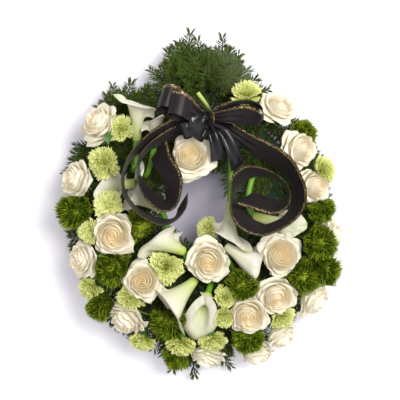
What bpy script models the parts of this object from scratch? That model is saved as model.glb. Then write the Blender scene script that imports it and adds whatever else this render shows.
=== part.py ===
"""A round funeral wreath: a floral foam ring in a plastic tray, dressed with roses, calla lilies,
carnations, green dianthus balls, fir branches and a black ribbon bow with two curled tails.

The wreath lies on its tray. The origin is the centre of the tray's underside, +Z is up and +Y is the
wreath's top.
"""

import math
import random
from collections import namedtuple

import bmesh
import bpy
from mathutils import Matrix, Vector

MM = 0.001

# The foam ring and its tray
RING_RADIUS = 140 * MM
FOAM_WIDTH = 68 * MM
FOAM_TOP = 56 * MM
FOAM_CHAMFER = 10 * MM
TRAY_WALL = 2 * MM
TRAY_LIP = 13 * MM
SEAT_GAP = 0.3 * MM
RING_STEPS = 26

# Stems and the holes that they stand in
STEM_SIDES = 5
STEM_FOOT_HEIGHT = 24 * MM
STEM_BEND_HEIGHT = 8 * MM
FORK_SHARE = 0.54
STEM_SPACING_DEG = 4.0
HOLE_CLEARANCE = 0.3 * MM
HOLE_SIDES = 5
HOLE_EXTRA_DEPTH = 1.5 * MM
CUTTER_LENGTH = 130 * MM

# The blooms' centres lie on a dome over the foam ring
DOME_BASE = 40 * MM
DOME_RISE = 66 * MM
DOME_REACH_OUT = 138 * MM
DOME_REACH_IN = 118 * MM
DOME_LOWEST = 0.16

# Neighbouring blooms press against each other and keep this much apart
PRESS_GAP = 0.25 * MM
PRESS_SOFTNESS = 4 * MM
FULLNESS = 1.16
PRESS_REACH = 1.25
FLOWER_FLOOR = 31 * MM

ROSE_STEPS = 10
ROSE_STEM = 3.0 * MM
CARNATION_STEPS = 10
CARNATION_STEM = 2.0 * MM
DIANTHUS_STEM = 2.0 * MM
CALLA_STEPS = 8
CALLA_WALL = 0.9 * MM
CALLA_ROWS = 3

RIBBON_WIDTH = 40 * MM
RIBBON_THICKNESS = 0.8 * MM
SATIN_WIDTH = 26 * MM

Bloom = namedtuple("Bloom", "node x y size azimuth elevation lift")
Calla = namedtuple("Calla", "node base mouth base_z mouth_z width stem_from stem_radius")
Branch = namedtuple("Branch", "node foot side tips")

# Each bloom: node, place in plan (mm), diameter (mm), the way it faces (degrees), and its lift over the
# dome (mm)
ROSES = (
    Bloom("rose_01", 133, 166, 60, 60, 45, 0),
    Bloom("rose_02", 170, 97, 66, -10, 50, -1),
    Bloom("rose_03", 196, 33, 62, -20, 56, -5),
    Bloom("rose_04", 226, -54, 60, 0, 20, -14),
    Bloom("rose_05", 137, -86, 74, 30, 78, -4),
    Bloom("rose_06", 132, -155, 70, -75, 68, 0),
    Bloom("rose_07", 83, -188, 72, -90, 76, 0),
    Bloom("rose_08", 198, -163, 60, -35, 20, 0),
    Bloom("rose_09", 142, -227, 56, -50, 20, 0),
    Bloom("rose_10", 100, -257, 60, -78, 14, -7),
    Bloom("rose_11", 12, -263, 54, -95, 14, 0),
    Bloom("rose_12", 14, -94, 72, -90, 80, 8),
    Bloom("rose_13", -98, -131, 68, 90, 82, 0),
    Bloom("rose_14", -126, -194, 68, -125, 24, 0),
    Bloom("rose_15", -201, -94, 60, 180, 42, 0),
    Bloom("rose_16", -148, -48, 76, -90, 80, 2),
    Bloom("rose_17", -212, 44, 62, 165, 38, 0),
    Bloom("rose_18", -172, 140, 68, 140, 40, 0),
    Bloom("rose_19", -17, 82, 74, 80, 76, 10),
)
CARNATIONS = (
    Bloom("carnation_01", -135, 130, 46, 120, 62, 0),
    Bloom("carnation_02", -164, 72, 56, 170, 62, 0),
    Bloom("carnation_03", -155, 2, 54, 160, 66, 0),
    Bloom("carnation_03", -189, -44, 44, 190, 50, 0),
    Bloom("carnation_04", -57, -104, 62, 90, 80, 0),
    Bloom("carnation_05", -187, -143, 46, 215, 36, 0),
    Bloom("carnation_06", -120, -160, 44, -120, 55, 0),
    Bloom("carnation_07", -100, -233, 46, -110, 24, 0),
    Bloom("carnation_08", -33, -240, 52, -95, 30, 0),
    Bloom("carnation_08", 22, -232, 48, -80, 34, 0),
    Bloom("carnation_09", 42, -158, 42, 20, 66, 0),
    Bloom("carnation_09", 42, -190, 42, -60, 50, 0),
    Bloom("carnation_10", 140, -194, 44, -60, 46, 0),
    Bloom("carnation_11", 80, 190, 50, 90, 44, 0),
    Bloom("carnation_12", 212, 60, 46, 15, 40, 0),
    Bloom("carnation_13", 14, -40, 38, 150, 56, 0),
)
DIANTHUS = (
    Bloom("dianthus_01", -212, -10, 64, 180, 42, 0),
    Bloom("dianthus_02", -99, -38, 62, 90, 72, 0),
    Bloom("dianthus_03", -150, -106, 64, 210, 66, 0),
    Bloom("dianthus_03", -168, -171, 56, 220, 32, 0),
    Bloom("dianthus_04", -52, -198, 66, -100, 62, 0),
    Bloom("dianthus_05", 71, -138, 62, -60, 80, 0),
    Bloom("dianthus_06", 203, -64, 62, -10, 48, 4),
    Bloom("dianthus_06", 174, -121, 66, -30, 64, 0),
    Bloom("dianthus_06", 211, -112, 60, -25, 34, 0),
    Bloom("dianthus_07", 84, -229, 54, -90, 40, 0),
    Bloom("dianthus_08", 207, -8, 46, 0, 42, 0),
    Bloom("dianthus_09", 177, 123, 44, 40, 34, -8),
    Bloom("dianthus_10", -40, -262, 46, -100, 12, 0),
)
# Each calla: node, plan of its base and of its mouth (mm), their heights, the mouth's width (mm), the plan of the
# point over the foam that its stem comes from (mm), and the stem's radius (mm)
CALLAS = (
    Calla("calla_01", (-110, 112), (-112, 182), 82, 96, 58, (-116, 60), 5.5),
    Calla("calla_01", (-78, 104), (-74, 162), 88, 100, 46, (-96, 52), 5.0),
    Calla("calla_02", (-112, 38), (-170, 30), 92, 92, 44, (-112, 40), 5.5),
    Calla("calla_02", (-66, -8), (-118, 28), 90, 98, 50, (-72, -88), 5.0),
    Calla("calla_03", (-26, -80), (-82, -60), 100, 108, 44, (-30, -112), 5.5),
    Calla("calla_04", (52, 6), (50, -66), 98, 104, 46, (52, 124), 5.0),
    Calla("calla_04", (48, -66), (98, -114), 92, 98, 46, (60, -112), 5.0),
    Calla("calla_05", (-8, -128), (-50, -168), 92, 108, 48, (-4, -130), 5.5),
    Calla("calla_06", (14, -150), (-4, -212), 98, 99, 52, (20, -134), 5.5),
    Calla("calla_07", (92, -18), (168, -40), 88, 92, 46, (100, 66), 5.0),
)

IVORY = (0.90, 0.87, 0.78)
WHITE = (0.90, 0.90, 0.85)
LIME = (0.66, 0.76, 0.40)
GREEN = (0.14, 0.32, 0.06)
FIR_GREEN = (0.05, 0.13, 0.06)
FOAM_GREEN = (0.07, 0.22, 0.12)
BLACK = (0.015, 0.014, 0.016)


def clear_scene():
    """Remove whatever the scene holds."""
    for obj in list(bpy.data.objects):
        bpy.data.objects.remove(obj)


def material(name, colour, roughness):
    """A plain surface of one colour."""
    made = bpy.data.materials.new(name)
    made.use_nodes = True
    shader = made.node_tree.nodes["Principled BSDF"]
    shader.inputs["Base Color"].default_value = (*colour, 1)
    shader.inputs["Roughness"].default_value = roughness
    shader.inputs["Metallic"].default_value = 0
    return made


def link(name, mesh, collection):
    """A new object of this mesh in the collection."""
    obj = bpy.data.objects.new(name, mesh)
    collection.objects.link(obj)
    return obj


def evaluated_mesh(obj):
    """The object's mesh with its modifiers applied."""
    bpy.context.view_layer.update()
    graph = bpy.context.evaluated_depsgraph_get()
    mesh = bpy.data.meshes.new_from_object(obj.evaluated_get(graph))
    bpy.data.objects.remove(obj)
    return mesh


def to_mesh(name, bm):
    """A mesh of the bmesh with its faces turned outward."""
    bmesh.ops.recalc_face_normals(bm, faces=bm.faces)
    if bm.calc_volume(signed=True) < 0:
        bmesh.ops.reverse_faces(bm, faces=bm.faces)
    mesh = bpy.data.meshes.new(name)
    bm.to_mesh(mesh)
    bm.free()
    return mesh


def direction(azimuth, elevation):
    """Unit vector that faces this way, in degrees round +Z from +X and above the horizon."""
    a = math.radians(azimuth)
    e = math.radians(elevation)
    return Vector((math.cos(a) * math.cos(e), math.sin(a) * math.cos(e), math.sin(e)))


def placed(centre, axis, turn=0.0):
    """Matrix that turns a shape about +Z, takes its +Z to the axis and its origin to the centre."""
    upright = axis.to_track_quat("Z", "Y").to_matrix().to_4x4()
    return Matrix.Translation(centre) @ upright @ Matrix.Rotation(turn, 4, "Z")


def dome_height(x, y):
    """Height of the dome that the blooms' centres lie on, over a place in plan."""
    across = math.hypot(x, y) - RING_RADIUS
    reach = DOME_REACH_OUT if across > 0 else DOME_REACH_IN
    return DOME_BASE + DOME_RISE * math.sqrt(max(DOME_LOWEST, 1 - (across / reach) ** 2))


def loft(rings, low_pole, high_pole):
    """Closed solid through rings of equally many points, ending in a point below and above."""
    bm = bmesh.new()
    rows = [[bm.verts.new(p) for p in ring] for ring in rings]
    low = bm.verts.new(low_pole)
    high = bm.verts.new(high_pole)
    steps = len(rows[0])
    for k in range(steps):
        n = (k + 1) % steps
        bm.faces.new((low, rows[0][n], rows[0][k]))
        bm.faces.new((high, rows[-1][k], rows[-1][n]))
        for lower, upper in zip(rows, rows[1:]):
            bm.faces.new((lower[k], lower[n], upper[n], upper[k]))
    return to_mesh("loft", bm)


def tube(points, radii, resolution=0, tilt=0.0):
    """Closed tube along the points, as a mesh."""
    curve = bpy.data.curves.new("tube", "CURVE")
    curve.dimensions = "3D"
    curve.bevel_depth = 1.0
    curve.bevel_resolution = resolution
    curve.use_fill_caps = True
    spline = curve.splines.new("POLY")
    spline.points.add(len(points) - 1)
    for target, point, radius in zip(spline.points, points, radii):
        target.co = (*point, 1)
        target.radius = radius
        target.tilt = tilt
    mesh = evaluated_mesh(link("tube", curve, bpy.context.scene.collection))
    bm = bmesh.new()
    bm.from_mesh(mesh)
    bmesh.ops.remove_doubles(bm, verts=bm.verts, dist=0.01 * MM)
    return to_mesh("tube", bm)


def stem_mesh(start, end, radius, sides=STEM_SIDES):
    """Straight stem between two points."""
    bm = bmesh.new()
    bmesh.ops.create_cone(
        bm, cap_ends=True, segments=sides, radius1=radius, radius2=radius, depth=(end - start).length
    )
    bm.transform(placed((start + end) / 2, (end - start).normalized()))
    return to_mesh("stem", bm)


def moved(mesh, matrix):
    """The mesh, moved by the matrix."""
    mesh.transform(matrix)
    return mesh


def pressed(mesh, planes):
    """The mesh, softly pushed back behind each plane, as petals are against their neighbours."""
    for vertex in mesh.vertices:
        point = vertex.co.copy()
        for _ in range(3):
            for normal, offset in planes:
                beyond = point.dot(normal) - offset + PRESS_SOFTNESS
                if beyond > 0:
                    kept = PRESS_SOFTNESS * (1 - math.exp(-beyond / PRESS_SOFTNESS))
                    point += normal * (kept - beyond)
        vertex.co = point
    return mesh


def fused(name, meshes, finish, collection):
    """One object that joins the closed meshes by a Boolean union."""
    joined = collection.objects.get(name)
    if joined is None:
        joined = link(name, meshes[0], collection)
        meshes = meshes[1:]
    if meshes:
        helpers = bpy.data.collections.new("helpers")
        bpy.context.scene.collection.children.link(helpers)
        others = [link("helper", mesh, helpers) for mesh in meshes]
        union = joined.modifiers.new("union", "BOOLEAN")
        union.operation = "UNION"
        union.solver = "MANIFOLD"
        union.operand_type = "COLLECTION"
        union.collection = helpers
        bpy.context.view_layer.update()
        graph = bpy.context.evaluated_depsgraph_get()
        whole = bpy.data.meshes.new_from_object(joined.evaluated_get(graph))
        joined.modifiers.clear()
        joined.data = whole
        for obj in others:
            bpy.data.objects.remove(obj)
        bpy.data.collections.remove(helpers)
    joined.data.name = name
    joined.data.materials.clear()
    joined.data.materials.append(finish)
    return joined


def petal_ring(radius, height, steps, petals, phase, lap, crown):
    """Ring of petal edges: each petal laps its neighbour by a share of the radius and has a high middle."""
    ring = []
    for k in range(steps):
        turn = k / steps
        along = (turn * petals + phase) % 1
        r = radius * (1 + lap * (0.5 - along))
        z = height + crown * math.sin(math.pi * (along + 0.5 / petals))
        angle = 2 * math.pi * turn
        ring.append(Vector((r * math.cos(angle), r * math.sin(angle), z)))
    return ring


# Each ring of a rose from its base inwards: radius and height as shares of the bloom's radius, petals,
# lap, crown
ROSE_RINGS = (
    (0.20, -0.74, 4, 0.0, 0.0),
    (0.66, -0.42, 4, 0.06, 0.0),
    (1.00, 0.02, 4, 0.22, 0.10),
    (0.66, 0.02, 4, 0.10, 0.0),
    (0.74, 0.36, 4, 0.24, 0.10),
    (0.46, 0.20, 4, 0.10, 0.0),
    (0.48, 0.52, 3, 0.26, 0.06),
    (0.25, 0.40, 3, 0.20, 0.0),
)
# Each ring of a carnation: radius and height as shares of the head's radius, and the depth of its frills
CARNATION_RINGS = (
    (0.14, -0.95, 0.0),
    (0.24, -0.50, 0.0),
    (1.00, -0.06, 0.20),
    (0.62, 0.06, 0.06),
    (0.82, 0.38, 0.20),
    (0.42, 0.26, 0.06),
    (0.46, 0.56, 0.22),
)


def rose_mesh(radius, turn):
    """A rose's bloom, facing +Z, as rings of lapped petals round a closed heart."""
    rings = []
    for number, (r, z, petals, lap, crown) in enumerate(ROSE_RINGS):
        phase = turn + 0.37 * number
        rings.append(petal_ring(r * radius, z * radius, ROSE_STEPS, petals, phase, lap, crown * radius))
    return loft(rings, Vector((0, 0, -0.78 * radius)), Vector((0, 0, 0.60 * radius)))


def carnation_mesh(radius, seed):
    """A carnation's head, facing +Z: a calyx under three layers of frilled petals."""
    draw = random.Random(seed)
    rings = []
    for number, (r, z, frill) in enumerate(CARNATION_RINGS):
        ring = []
        for k in range(CARNATION_STEPS):
            wave = frill * (1 if (k + number) % 2 else -1) * draw.uniform(0.6, 1.0)
            angle = 2 * math.pi * k / CARNATION_STEPS
            reach = radius * r * (1 + 0.5 * wave)
            ring.append(Vector((reach * math.cos(angle), reach * math.sin(angle), radius * (z + 0.6 * wave))))
        rings.append(ring)
    return loft(rings, Vector((0, 0, -1.0 * radius)), Vector((0, 0, 0.46 * radius)))


def dianthus_mesh(radius, _number):
    """A green dianthus ball, facing +Z: a core whose upper faces are drawn out into spikes."""
    core = 0.74 * radius
    bm = bmesh.new()
    bmesh.ops.create_icosphere(bm, subdivisions=2, radius=core)
    bm.normal_update()
    spiked = [face for face in bm.faces if face.normal.z > -0.1]
    bmesh.ops.poke(bm, faces=spiked, offset=radius - core * 0.97, center_mode="MEAN")
    return to_mesh("dianthus", bm)


def calla_mesh(length, width, base_radius):
    """A calla's spathe, opening along +Z: a thin funnel with a flared lip and a pointed tip."""
    bm = bmesh.new()
    rows = []
    for row in range(CALLA_ROWS + 1):
        share = row / CALLA_ROWS
        flare = base_radius + (0.5 * width - base_radius) * (0.45 * share + 0.55 * share ** 4)
        ring = []
        for k in range(CALLA_STEPS):
            angle = 2 * math.pi * (k + 0.5) / CALLA_STEPS
            back = math.cos(angle)
            reach = flare * (1 + 0.30 * share ** 4 * back)
            rise = length * share * (1 + 0.16 * share ** 2 * back)
            ring.append(bm.verts.new((reach * math.cos(angle), reach * math.sin(angle), rise)))
        rows.append(ring)
    for k in range(CALLA_STEPS):
        n = (k + 1) % CALLA_STEPS
        for lower, upper in zip(rows, rows[1:]):
            bm.faces.new((lower[k], lower[n], upper[n], upper[k]))
    bm.faces.new(list(reversed(rows[0])))
    obj = link("spathe", to_mesh("spathe", bm), bpy.context.scene.collection)
    shell = obj.modifiers.new("shell", "SOLIDIFY")
    shell.thickness = CALLA_WALL
    shell.offset = -1
    return evaluated_mesh(obj)


def bezier(start, start_way, end, end_way, steps):
    """Points of a cubic curve between two points that leaves and arrives along the given handles."""
    a, b, c, d = start, start + start_way, end + end_way, end
    points = []
    for k in range(steps + 1):
        t = k / steps
        s = 1 - t
        points.append(a * s ** 3 + b * 3 * s * s * t + c * 3 * s * t * t + d * t ** 3)
    return points


def smooth_line(points, steps):
    """Points of a Catmull-Rom curve through the given ones, with this many steps between each pair."""
    line = []
    last = len(points) - 1
    for k in range(last):
        a, b, c, d = (points[min(max(k + i, 0), last)] for i in (-1, 0, 1, 2))
        for step in range(steps):
            t = step / steps
            line.append(
                0.5 * (
                    2 * b
                    + (c - a) * t
                    + (2 * a - 5 * b + 4 * c - d) * t * t
                    + (3 * b - a - 3 * c + d) * t ** 3
                )
            )
    line.append(points[last].copy())
    return line


def spread(angles, least):
    """The angles moved apart, in their own order, until neighbours are this many degrees apart."""
    order = sorted(range(len(angles)), key=lambda k: angles[k])
    places = [angles[k] for k in order]
    count = len(places)
    for _ in range(400):
        for k in range(count):
            n = (k + 1) % count
            lap = 360 if n == 0 else 0
            short = least - (places[n] + lap - places[k])
            if short > 0:
                places[k] -= short / 2
                places[n] += short / 2
    found = [0.0] * count
    for k, place in zip(order, places):
        found[k] = place
    return found


def on_ring(angle, height, radius=RING_RADIUS):
    """The point of the ring at this angle in degrees."""
    a = math.radians(angle)
    return Vector((radius * math.cos(a), radius * math.sin(a), height))


class Head:
    """A bloom in place: its centre line from low to high, how far it reaches, and its node."""

    def __init__(self, node, low, high, reach, ceiling=None):
        self.node = node
        self.low = low
        self.high = high
        self.reach = reach
        self.ceiling = ceiling

    def closest(self, other):
        """The closest points of this centre line and the other."""
        best = None
        for i in range(9):
            for j in range(9):
                a = self.low.lerp(self.high, i / 8)
                b = other.low.lerp(other.high, j / 8)
                gap = (a - b).length
                if best is None or gap < best[0]:
                    best = (gap, a, b)
        return best

    def planes(self, heads):
        """The planes that keep this head clear of its neighbours and of the fir below."""
        found = [(Vector((0, 0, -1)), -FLOWER_FLOOR)]
        if self.ceiling:
            found.append((Vector((0, 0, 1)), self.ceiling))
        for other in heads:
            touching = other.node == self.node and self.low != self.high
            if other.low == self.low or touching:
                continue
            gap, mine, theirs = self.closest(other)
            if gap > PRESS_REACH * (self.reach + other.reach):
                continue
            normal = (theirs - mine).normalized()
            share = self.reach / (self.reach + other.reach)
            found.append((normal, mine.dot(normal) + gap * share - PRESS_GAP))
        return found


def bloom_centre(bloom):
    """The centre of a bloom."""
    x = bloom.x * MM
    y = bloom.y * MM
    return Vector((x, y, dome_height(x, y) + bloom.lift * MM))


def bloom_head(bloom):
    """The head of a round bloom."""
    centre = bloom_centre(bloom)
    return Head(bloom.node, centre, centre, 0.5 * bloom.size * MM, UNDER_RIBBON.get(bloom.node))


def calla_ends(calla):
    """A calla's base and mouth as points."""
    base = Vector((calla.base[0], calla.base[1], calla.base_z)) * MM
    mouth = Vector((calla.mouth[0], calla.mouth[1], calla.mouth_z)) * MM
    return base, mouth


def calla_head(calla):
    """The head of a calla: a line from its throat to its mouth."""
    base, mouth = calla_ends(calla)
    reach = 0.42 * calla.width * MM
    return Head(calla.node, base.lerp(mouth, 0.25), mouth, reach, UNDER_RIBBON.get(calla.node))


# Heads that a ribbon passes over stay below its lower edge
UNDER_RIBBON = {
    "calla_02": 112 * MM,
    "calla_07": 106 * MM,
    "calla_04": 122 * MM,
    "dianthus_02": 108 * MM,
    "carnation_03": 118 * MM,
}


def stem_top(bloom):
    """Where a bloom's stem begins, inside its head."""
    return bloom_centre(bloom) - direction(bloom.azimuth, bloom.elevation) * 0.22 * bloom.size * MM


def bloom_meshes(bloom, number, foot, heads, shape, stem_radius):
    """A bloom pressed into its place, and its straight stem down to its foot."""
    axis = direction(bloom.azimuth, bloom.elevation)
    place = placed(bloom_centre(bloom), axis, 0.7 * number)
    bud = moved(shape(0.5 * FULLNESS * bloom.size * MM, number), place)
    return [pressed(bud, bloom_head(bloom).planes(heads)), stem_mesh(stem_top(bloom), foot, stem_radius)]


def calla_entry(calla):
    """Where a calla's stem comes down to the foam and runs straight from there."""
    return Vector((calla.stem_from[0] * MM, calla.stem_from[1] * MM, FOAM_TOP + STEM_BEND_HEIGHT))


def calla_meshes(calla, foot, heads):
    """A calla: its spathe, the spadix inside and the bent stem down to its foot in the foam."""
    base, mouth = calla_ends(calla)
    axis = (mouth - base).normalized()
    radius = calla.stem_radius * MM
    throat = radius + 1.2 * MM
    spathe = moved(calla_mesh((mouth - base).length, calla.width * MM, throat), placed(base, axis))
    entry = calla_entry(calla)
    rise = (entry - foot).normalized()
    bend = 0.4 * (entry - base).length
    line = bezier(base + axis * 8 * MM, -axis * bend, entry, rise * 0.4 * bend, 3)
    line.append(foot)
    stem = tube(line, [radius] * len(line), 1)
    spadix_line = [base, base + axis * 0.75 * (mouth - base).length]
    spadix = tube(spadix_line, [0.7 * radius, 0.4 * radius])
    return [pressed(spathe, calla_head(calla).planes(heads)), stem, spadix]


def holes_for(stems):
    """Cutters for the plain holes that the stems stand in."""
    cutters = []
    for start, foot, radius in stems:
        way = (start - foot).normalized()
        low = foot - way * HOLE_EXTRA_DEPTH
        wide = (radius + HOLE_CLEARANCE) / math.cos(math.pi / HOLE_SIDES)
        cutters.append(stem_mesh(low, low + way * CUTTER_LENGTH, wide, HOLE_SIDES))
    return cutters


def turned(name, profile, finish, collection):
    """A ring turned round +Z from a closed profile of (radius, height) points."""
    bm = bmesh.new()
    points = [bm.verts.new((r, 0, z)) for r, z in profile]
    for k, point in enumerate(points):
        bm.edges.new((point, points[(k + 1) % len(points)]))
    mesh = bpy.data.meshes.new(name)
    bm.to_mesh(mesh)
    bm.free()
    obj = link(name, mesh, bpy.context.scene.collection)
    screw = obj.modifiers.new("turn", "SCREW")
    screw.steps = RING_STEPS
    screw.render_steps = RING_STEPS
    screw.use_merge_vertices = True
    screw.merge_threshold = 0.0001
    bm = bmesh.new()
    bm.from_mesh(evaluated_mesh(obj))
    return fused(name, [to_mesh(name, bm)], finish, collection)


def add_tray(finish, collection):
    """The plastic tray: a ring-shaped channel that the foam sits in."""
    inner = RING_RADIUS - FOAM_WIDTH / 2 - SEAT_GAP
    outer = RING_RADIUS + FOAM_WIDTH / 2 + SEAT_GAP
    profile = (
        (outer, TRAY_WALL),
        (outer, TRAY_LIP),
        (outer + TRAY_WALL, TRAY_LIP),
        (outer + TRAY_WALL, 0),
        (inner - TRAY_WALL, 0),
        (inner - TRAY_WALL, TRAY_LIP),
        (inner, TRAY_LIP),
        (inner, TRAY_WALL),
    )
    turned("tray", profile, finish, collection)


def add_foam(stems, finish, collection):
    """The floral foam ring, with a hole for each stem."""
    inner = RING_RADIUS - FOAM_WIDTH / 2
    outer = RING_RADIUS + FOAM_WIDTH / 2
    bottom = TRAY_WALL + SEAT_GAP
    profile = (
        (outer - FOAM_CHAMFER, FOAM_TOP),
        (outer, FOAM_TOP - FOAM_CHAMFER),
        (outer, bottom),
        (inner, bottom),
        (inner, FOAM_TOP - FOAM_CHAMFER),
        (inner + FOAM_CHAMFER, FOAM_TOP),
    )
    foam = turned("foam_ring", profile, finish, collection)
    helpers = bpy.data.collections.new("cutters")
    bpy.context.scene.collection.children.link(helpers)
    cutters = [link("cutter", mesh, helpers) for mesh in holes_for(stems)]
    cut = foam.modifiers.new("holes", "BOOLEAN")
    cut.operation = "DIFFERENCE"
    cut.solver = "MANIFOLD"
    cut.operand_type = "COLLECTION"
    cut.collection = helpers
    bpy.context.view_layer.update()
    graph = bpy.context.evaluated_depsgraph_get()
    holed = bpy.data.meshes.new_from_object(foam.evaluated_get(graph))
    foam.modifiers.clear()
    foam.data = holed
    for cutter in cutters:
        bpy.data.objects.remove(cutter)
    bpy.data.collections.remove(helpers)


# Each fir branch: node, the angle of its foot in the foam (degrees), whether it leaves the foam on its
# outer (1) or inner (-1) side, and the tips of its twigs (mm)
BRANCHES = (
    Branch(
        "fir_top_left", 100, 1,
        ((-17, 300, 62), (-56, 268, 50), (-86, 236, 40), (14, 256, 74), (-50, 222, 76)),
    ),
    Branch(
        "fir_top_right", 78, 1,
        ((39, 292, 60), (70, 250, 50), (98, 222, 40), (118, 204, 32), (22, 226, 80)),
    ),
    Branch(
        "fir_left", 143, 1,
        ((-153, 208, 48), (-122, 216, 38), (-90, 206, 54), (-208, 98, 27), (-236, 58, 27)),
    ),
    Branch(
        "fir_bottom", -96, 1,
        ((-84, -240, 26), (-48, -290, 26), (-10, -300, 24), (52, -284, 26), (84, -250, 25)),
    ),
    Branch(
        "fir_inner", 52, -1,
        ((40, 62, 44), (48, 22, 46), (24, 84, 42)),
    ),
)
BRANCH_DEPTH = 17 * MM
BRANCH_FOOT_HEIGHT = 19 * MM
BRANCH_HUB_HEIGHT = 25 * MM
BRANCH_HUB_OUT = 13 * MM
BRANCH_RADIUS = 3.0 * MM
TWIG_RADIUS = 2.2 * MM
TWIG_STEP = 15 * MM
NEEDLE_OUT = 15 * MM
NEEDLE_FORWARD = 12 * MM
NEEDLES_FROM = 24 * MM


def needled(mesh, hub, tip):
    """The twig with its side faces drawn out into needles that lean towards its tip."""
    way = (tip - hub).normalized()
    bm = bmesh.new()
    bm.from_mesh(mesh)
    bm.normal_update()
    sides = []
    for face in bm.faces:
        middle = face.calc_center_median()
        level = abs(face.normal.z) < 0.6 and abs(face.normal.dot(way)) < 0.7
        if len(face.verts) == 4 and level and (middle - hub).length > NEEDLES_FROM:
            sides.append(face)
    poked = bmesh.ops.poke(bm, faces=sides, offset=NEEDLE_OUT, center_mode="MEAN")
    for point in poked["verts"]:
        point.co += way * NEEDLE_FORWARD
    return to_mesh("twig", bm)


def branch_ends(branch):
    """A fir branch's foot in the foam's side and the hub outside it that its twigs leave from."""
    edge = RING_RADIUS + branch.side * FOAM_WIDTH / 2
    foot = on_ring(branch.foot, BRANCH_FOOT_HEIGHT, edge - branch.side * BRANCH_DEPTH)
    hub = on_ring(branch.foot, BRANCH_HUB_HEIGHT, edge + branch.side * BRANCH_HUB_OUT)
    return foot, hub


def branch_meshes(branch):
    """A fir branch: a stem from its foot in the foam to its hub, and a fan of needled twigs."""
    foot, hub = branch_ends(branch)
    way = (hub - foot).normalized()
    meshes = [tube([foot, hub + way * 2 * MM], [BRANCH_RADIUS] * 2)]
    for tip in branch.tips:
        tip = Vector(tip) * MM
        length = (tip - hub).length
        steps = round(length / TWIG_STEP)
        line = bezier(hub, way * 0.3 * length, tip, (hub - tip) * 0.35, steps)
        radii = [TWIG_RADIUS * (1 - 0.6 * k / steps) for k in range(steps + 1)]
        meshes.append(needled(tube(line, radii, tilt=math.radians(45)), hub, tip))
    return meshes


def strip_mesh(line, across, width_of, thickness=RIBBON_THICKNESS):
    """A ribbon along the line: at each point it reaches half its width along the across direction."""
    bm = bmesh.new()
    rows = []
    last = len(line) - 1
    for k, point in enumerate(line):
        half = across[k].normalized() * width_of(k / last) / 2
        rows.append((bm.verts.new(point - half), bm.verts.new(point + half)))
    for low, high in zip(rows, rows[1:]):
        bm.faces.new((low[0], low[1], high[1], high[0]))
    mesh = bpy.data.meshes.new("strip")
    bm.to_mesh(mesh)
    bm.free()
    obj = link("strip", mesh, bpy.context.scene.collection)
    shell = obj.modifiers.new("shell", "SOLIDIFY")
    shell.thickness = thickness
    shell.offset = 0
    bm = bmesh.new()
    bm.from_mesh(evaluated_mesh(obj))
    return to_mesh("strip", bm)


KNOT = Vector((14 * MM, 148 * MM, 134 * MM))
KNOT_RADIUS = 9 * MM
KNOT_HALF = 7 * MM
TIE_HALF = 3 * MM
PICK_RADIUS = 1.2 * MM
PICK_FOOT = Vector((8 * MM, 158 * MM, 22 * MM))
TIE_STEPS = 12
# Lines of the curled tails: place in plan and height (mm), and how far the ribbon leans there (degrees)
LEFT_TAIL = (
    (8, 148, 124.2, 88), (-8, 145, 117, 74), (-46, 131, 121, 46), (-80, 114, 130, 28),
    (-112, 87, 134, 12), (-126, 62, 135, 4), (-130, 40, 135, 5), (-124, 14, 134, 8),
    (-98, -14, 134, 11), (-64, -28, 134, 17), (-42, -23, 134, 10), (-30, -4, 135, 20),
    (-27, 12, 137, 17),
)
LEFT_LOOP = (
    (-8, 143, 112, 50), (-46, 122, 113, 34), (-86, 98, 122, 12), (-102, 76, 127, 7),
    (-104, 58, 128, 7), (-99, 38, 129, 14), (-87, 19, 130, 27), (-67, 2, 131, 32),
    (-54, 0, 131, 33), (-47, 9, 131, 38), (-45, 26, 130, 48), (-47, 48, 126, 57),
    (-63, 74, 117, 62), (-70, 96, 108, 60),
)
RIGHT_TAIL = (
    (22, 148, 124.2, -88), (36, 142, 117, -76), (69, 117, 121, -58), (95, 100, 130, -50),
    (123, 84, 138, -52), (146, 66, 142, -42), (158, 48, 143, -32), (166, 26, 144, -34),
    (164, -1, 144, -32), (144, -26, 143, -24), (111, -41, 143, -27), (92, -38, 143, -37),
    (76, -29, 143, -43), (64, -15, 143, -40), (57, -2, 144, -26), (55, 14, 144, -15),
    (56, 30, 145, -18), (62, 43, 146, -32), (76, 54, 147, -36), (92, 57, 147, -28),
    (110, 54, 147, -20), (128, 47, 148, -10), (143, 35, 149, -5), (148, 18, 150, -8),
    (141, 4, 150, -24), (126, -2, 149, -42), (108, 2, 148, -47), (89, 8, 148, -46),
    (73, 12, 148, -40),
)
# Lines of the bow's loops: place in plan and height (mm); the right one stands and leans as the tails do
BOW_LEFT = (
    (8, 149, 137), (-12, 158, 156), (-28, 168, 170), (-46, 172, 168),
    (-50, 167, 152), (-30, 159, 142), (8, 147, 132),
)
BOW_FAR = (
    (8, 150, 134), (-34, 176, 154), (-54, 184, 162), (-67, 180, 150),
    (-60, 173, 139), (-36, 163, 134), (8, 148, 130),
)
BOW_RIGHT = (
    (20, 149, 137, -80), (46, 150, 145, -60), (76, 150, 149, -54), (94, 146, 150, -40),
    (104, 149, 151, -12), (103, 161, 152, 0), (90, 170, 152, 5), (68, 172, 151, 6),
    (44, 165, 147, 14), (20, 151, 134, 60),
)
# The satin ribbon's loop and tails: place in plan and height (mm)
SATIN_LOOP = (
    (12, 138, 138), (-6, 130, 151), (-26, 125, 149), (-29, 123, 138), (-10, 127, 132), (12, 138, 132),
)
SATIN_TAILS = (
    ((16, 136, 132), (38, 122, 135), (54, 96, 133), (63, 64, 124)),
    ((14, 136, 130), (24, 114, 134), (28, 94, 132), (30, 74, 126)),
)


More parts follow.
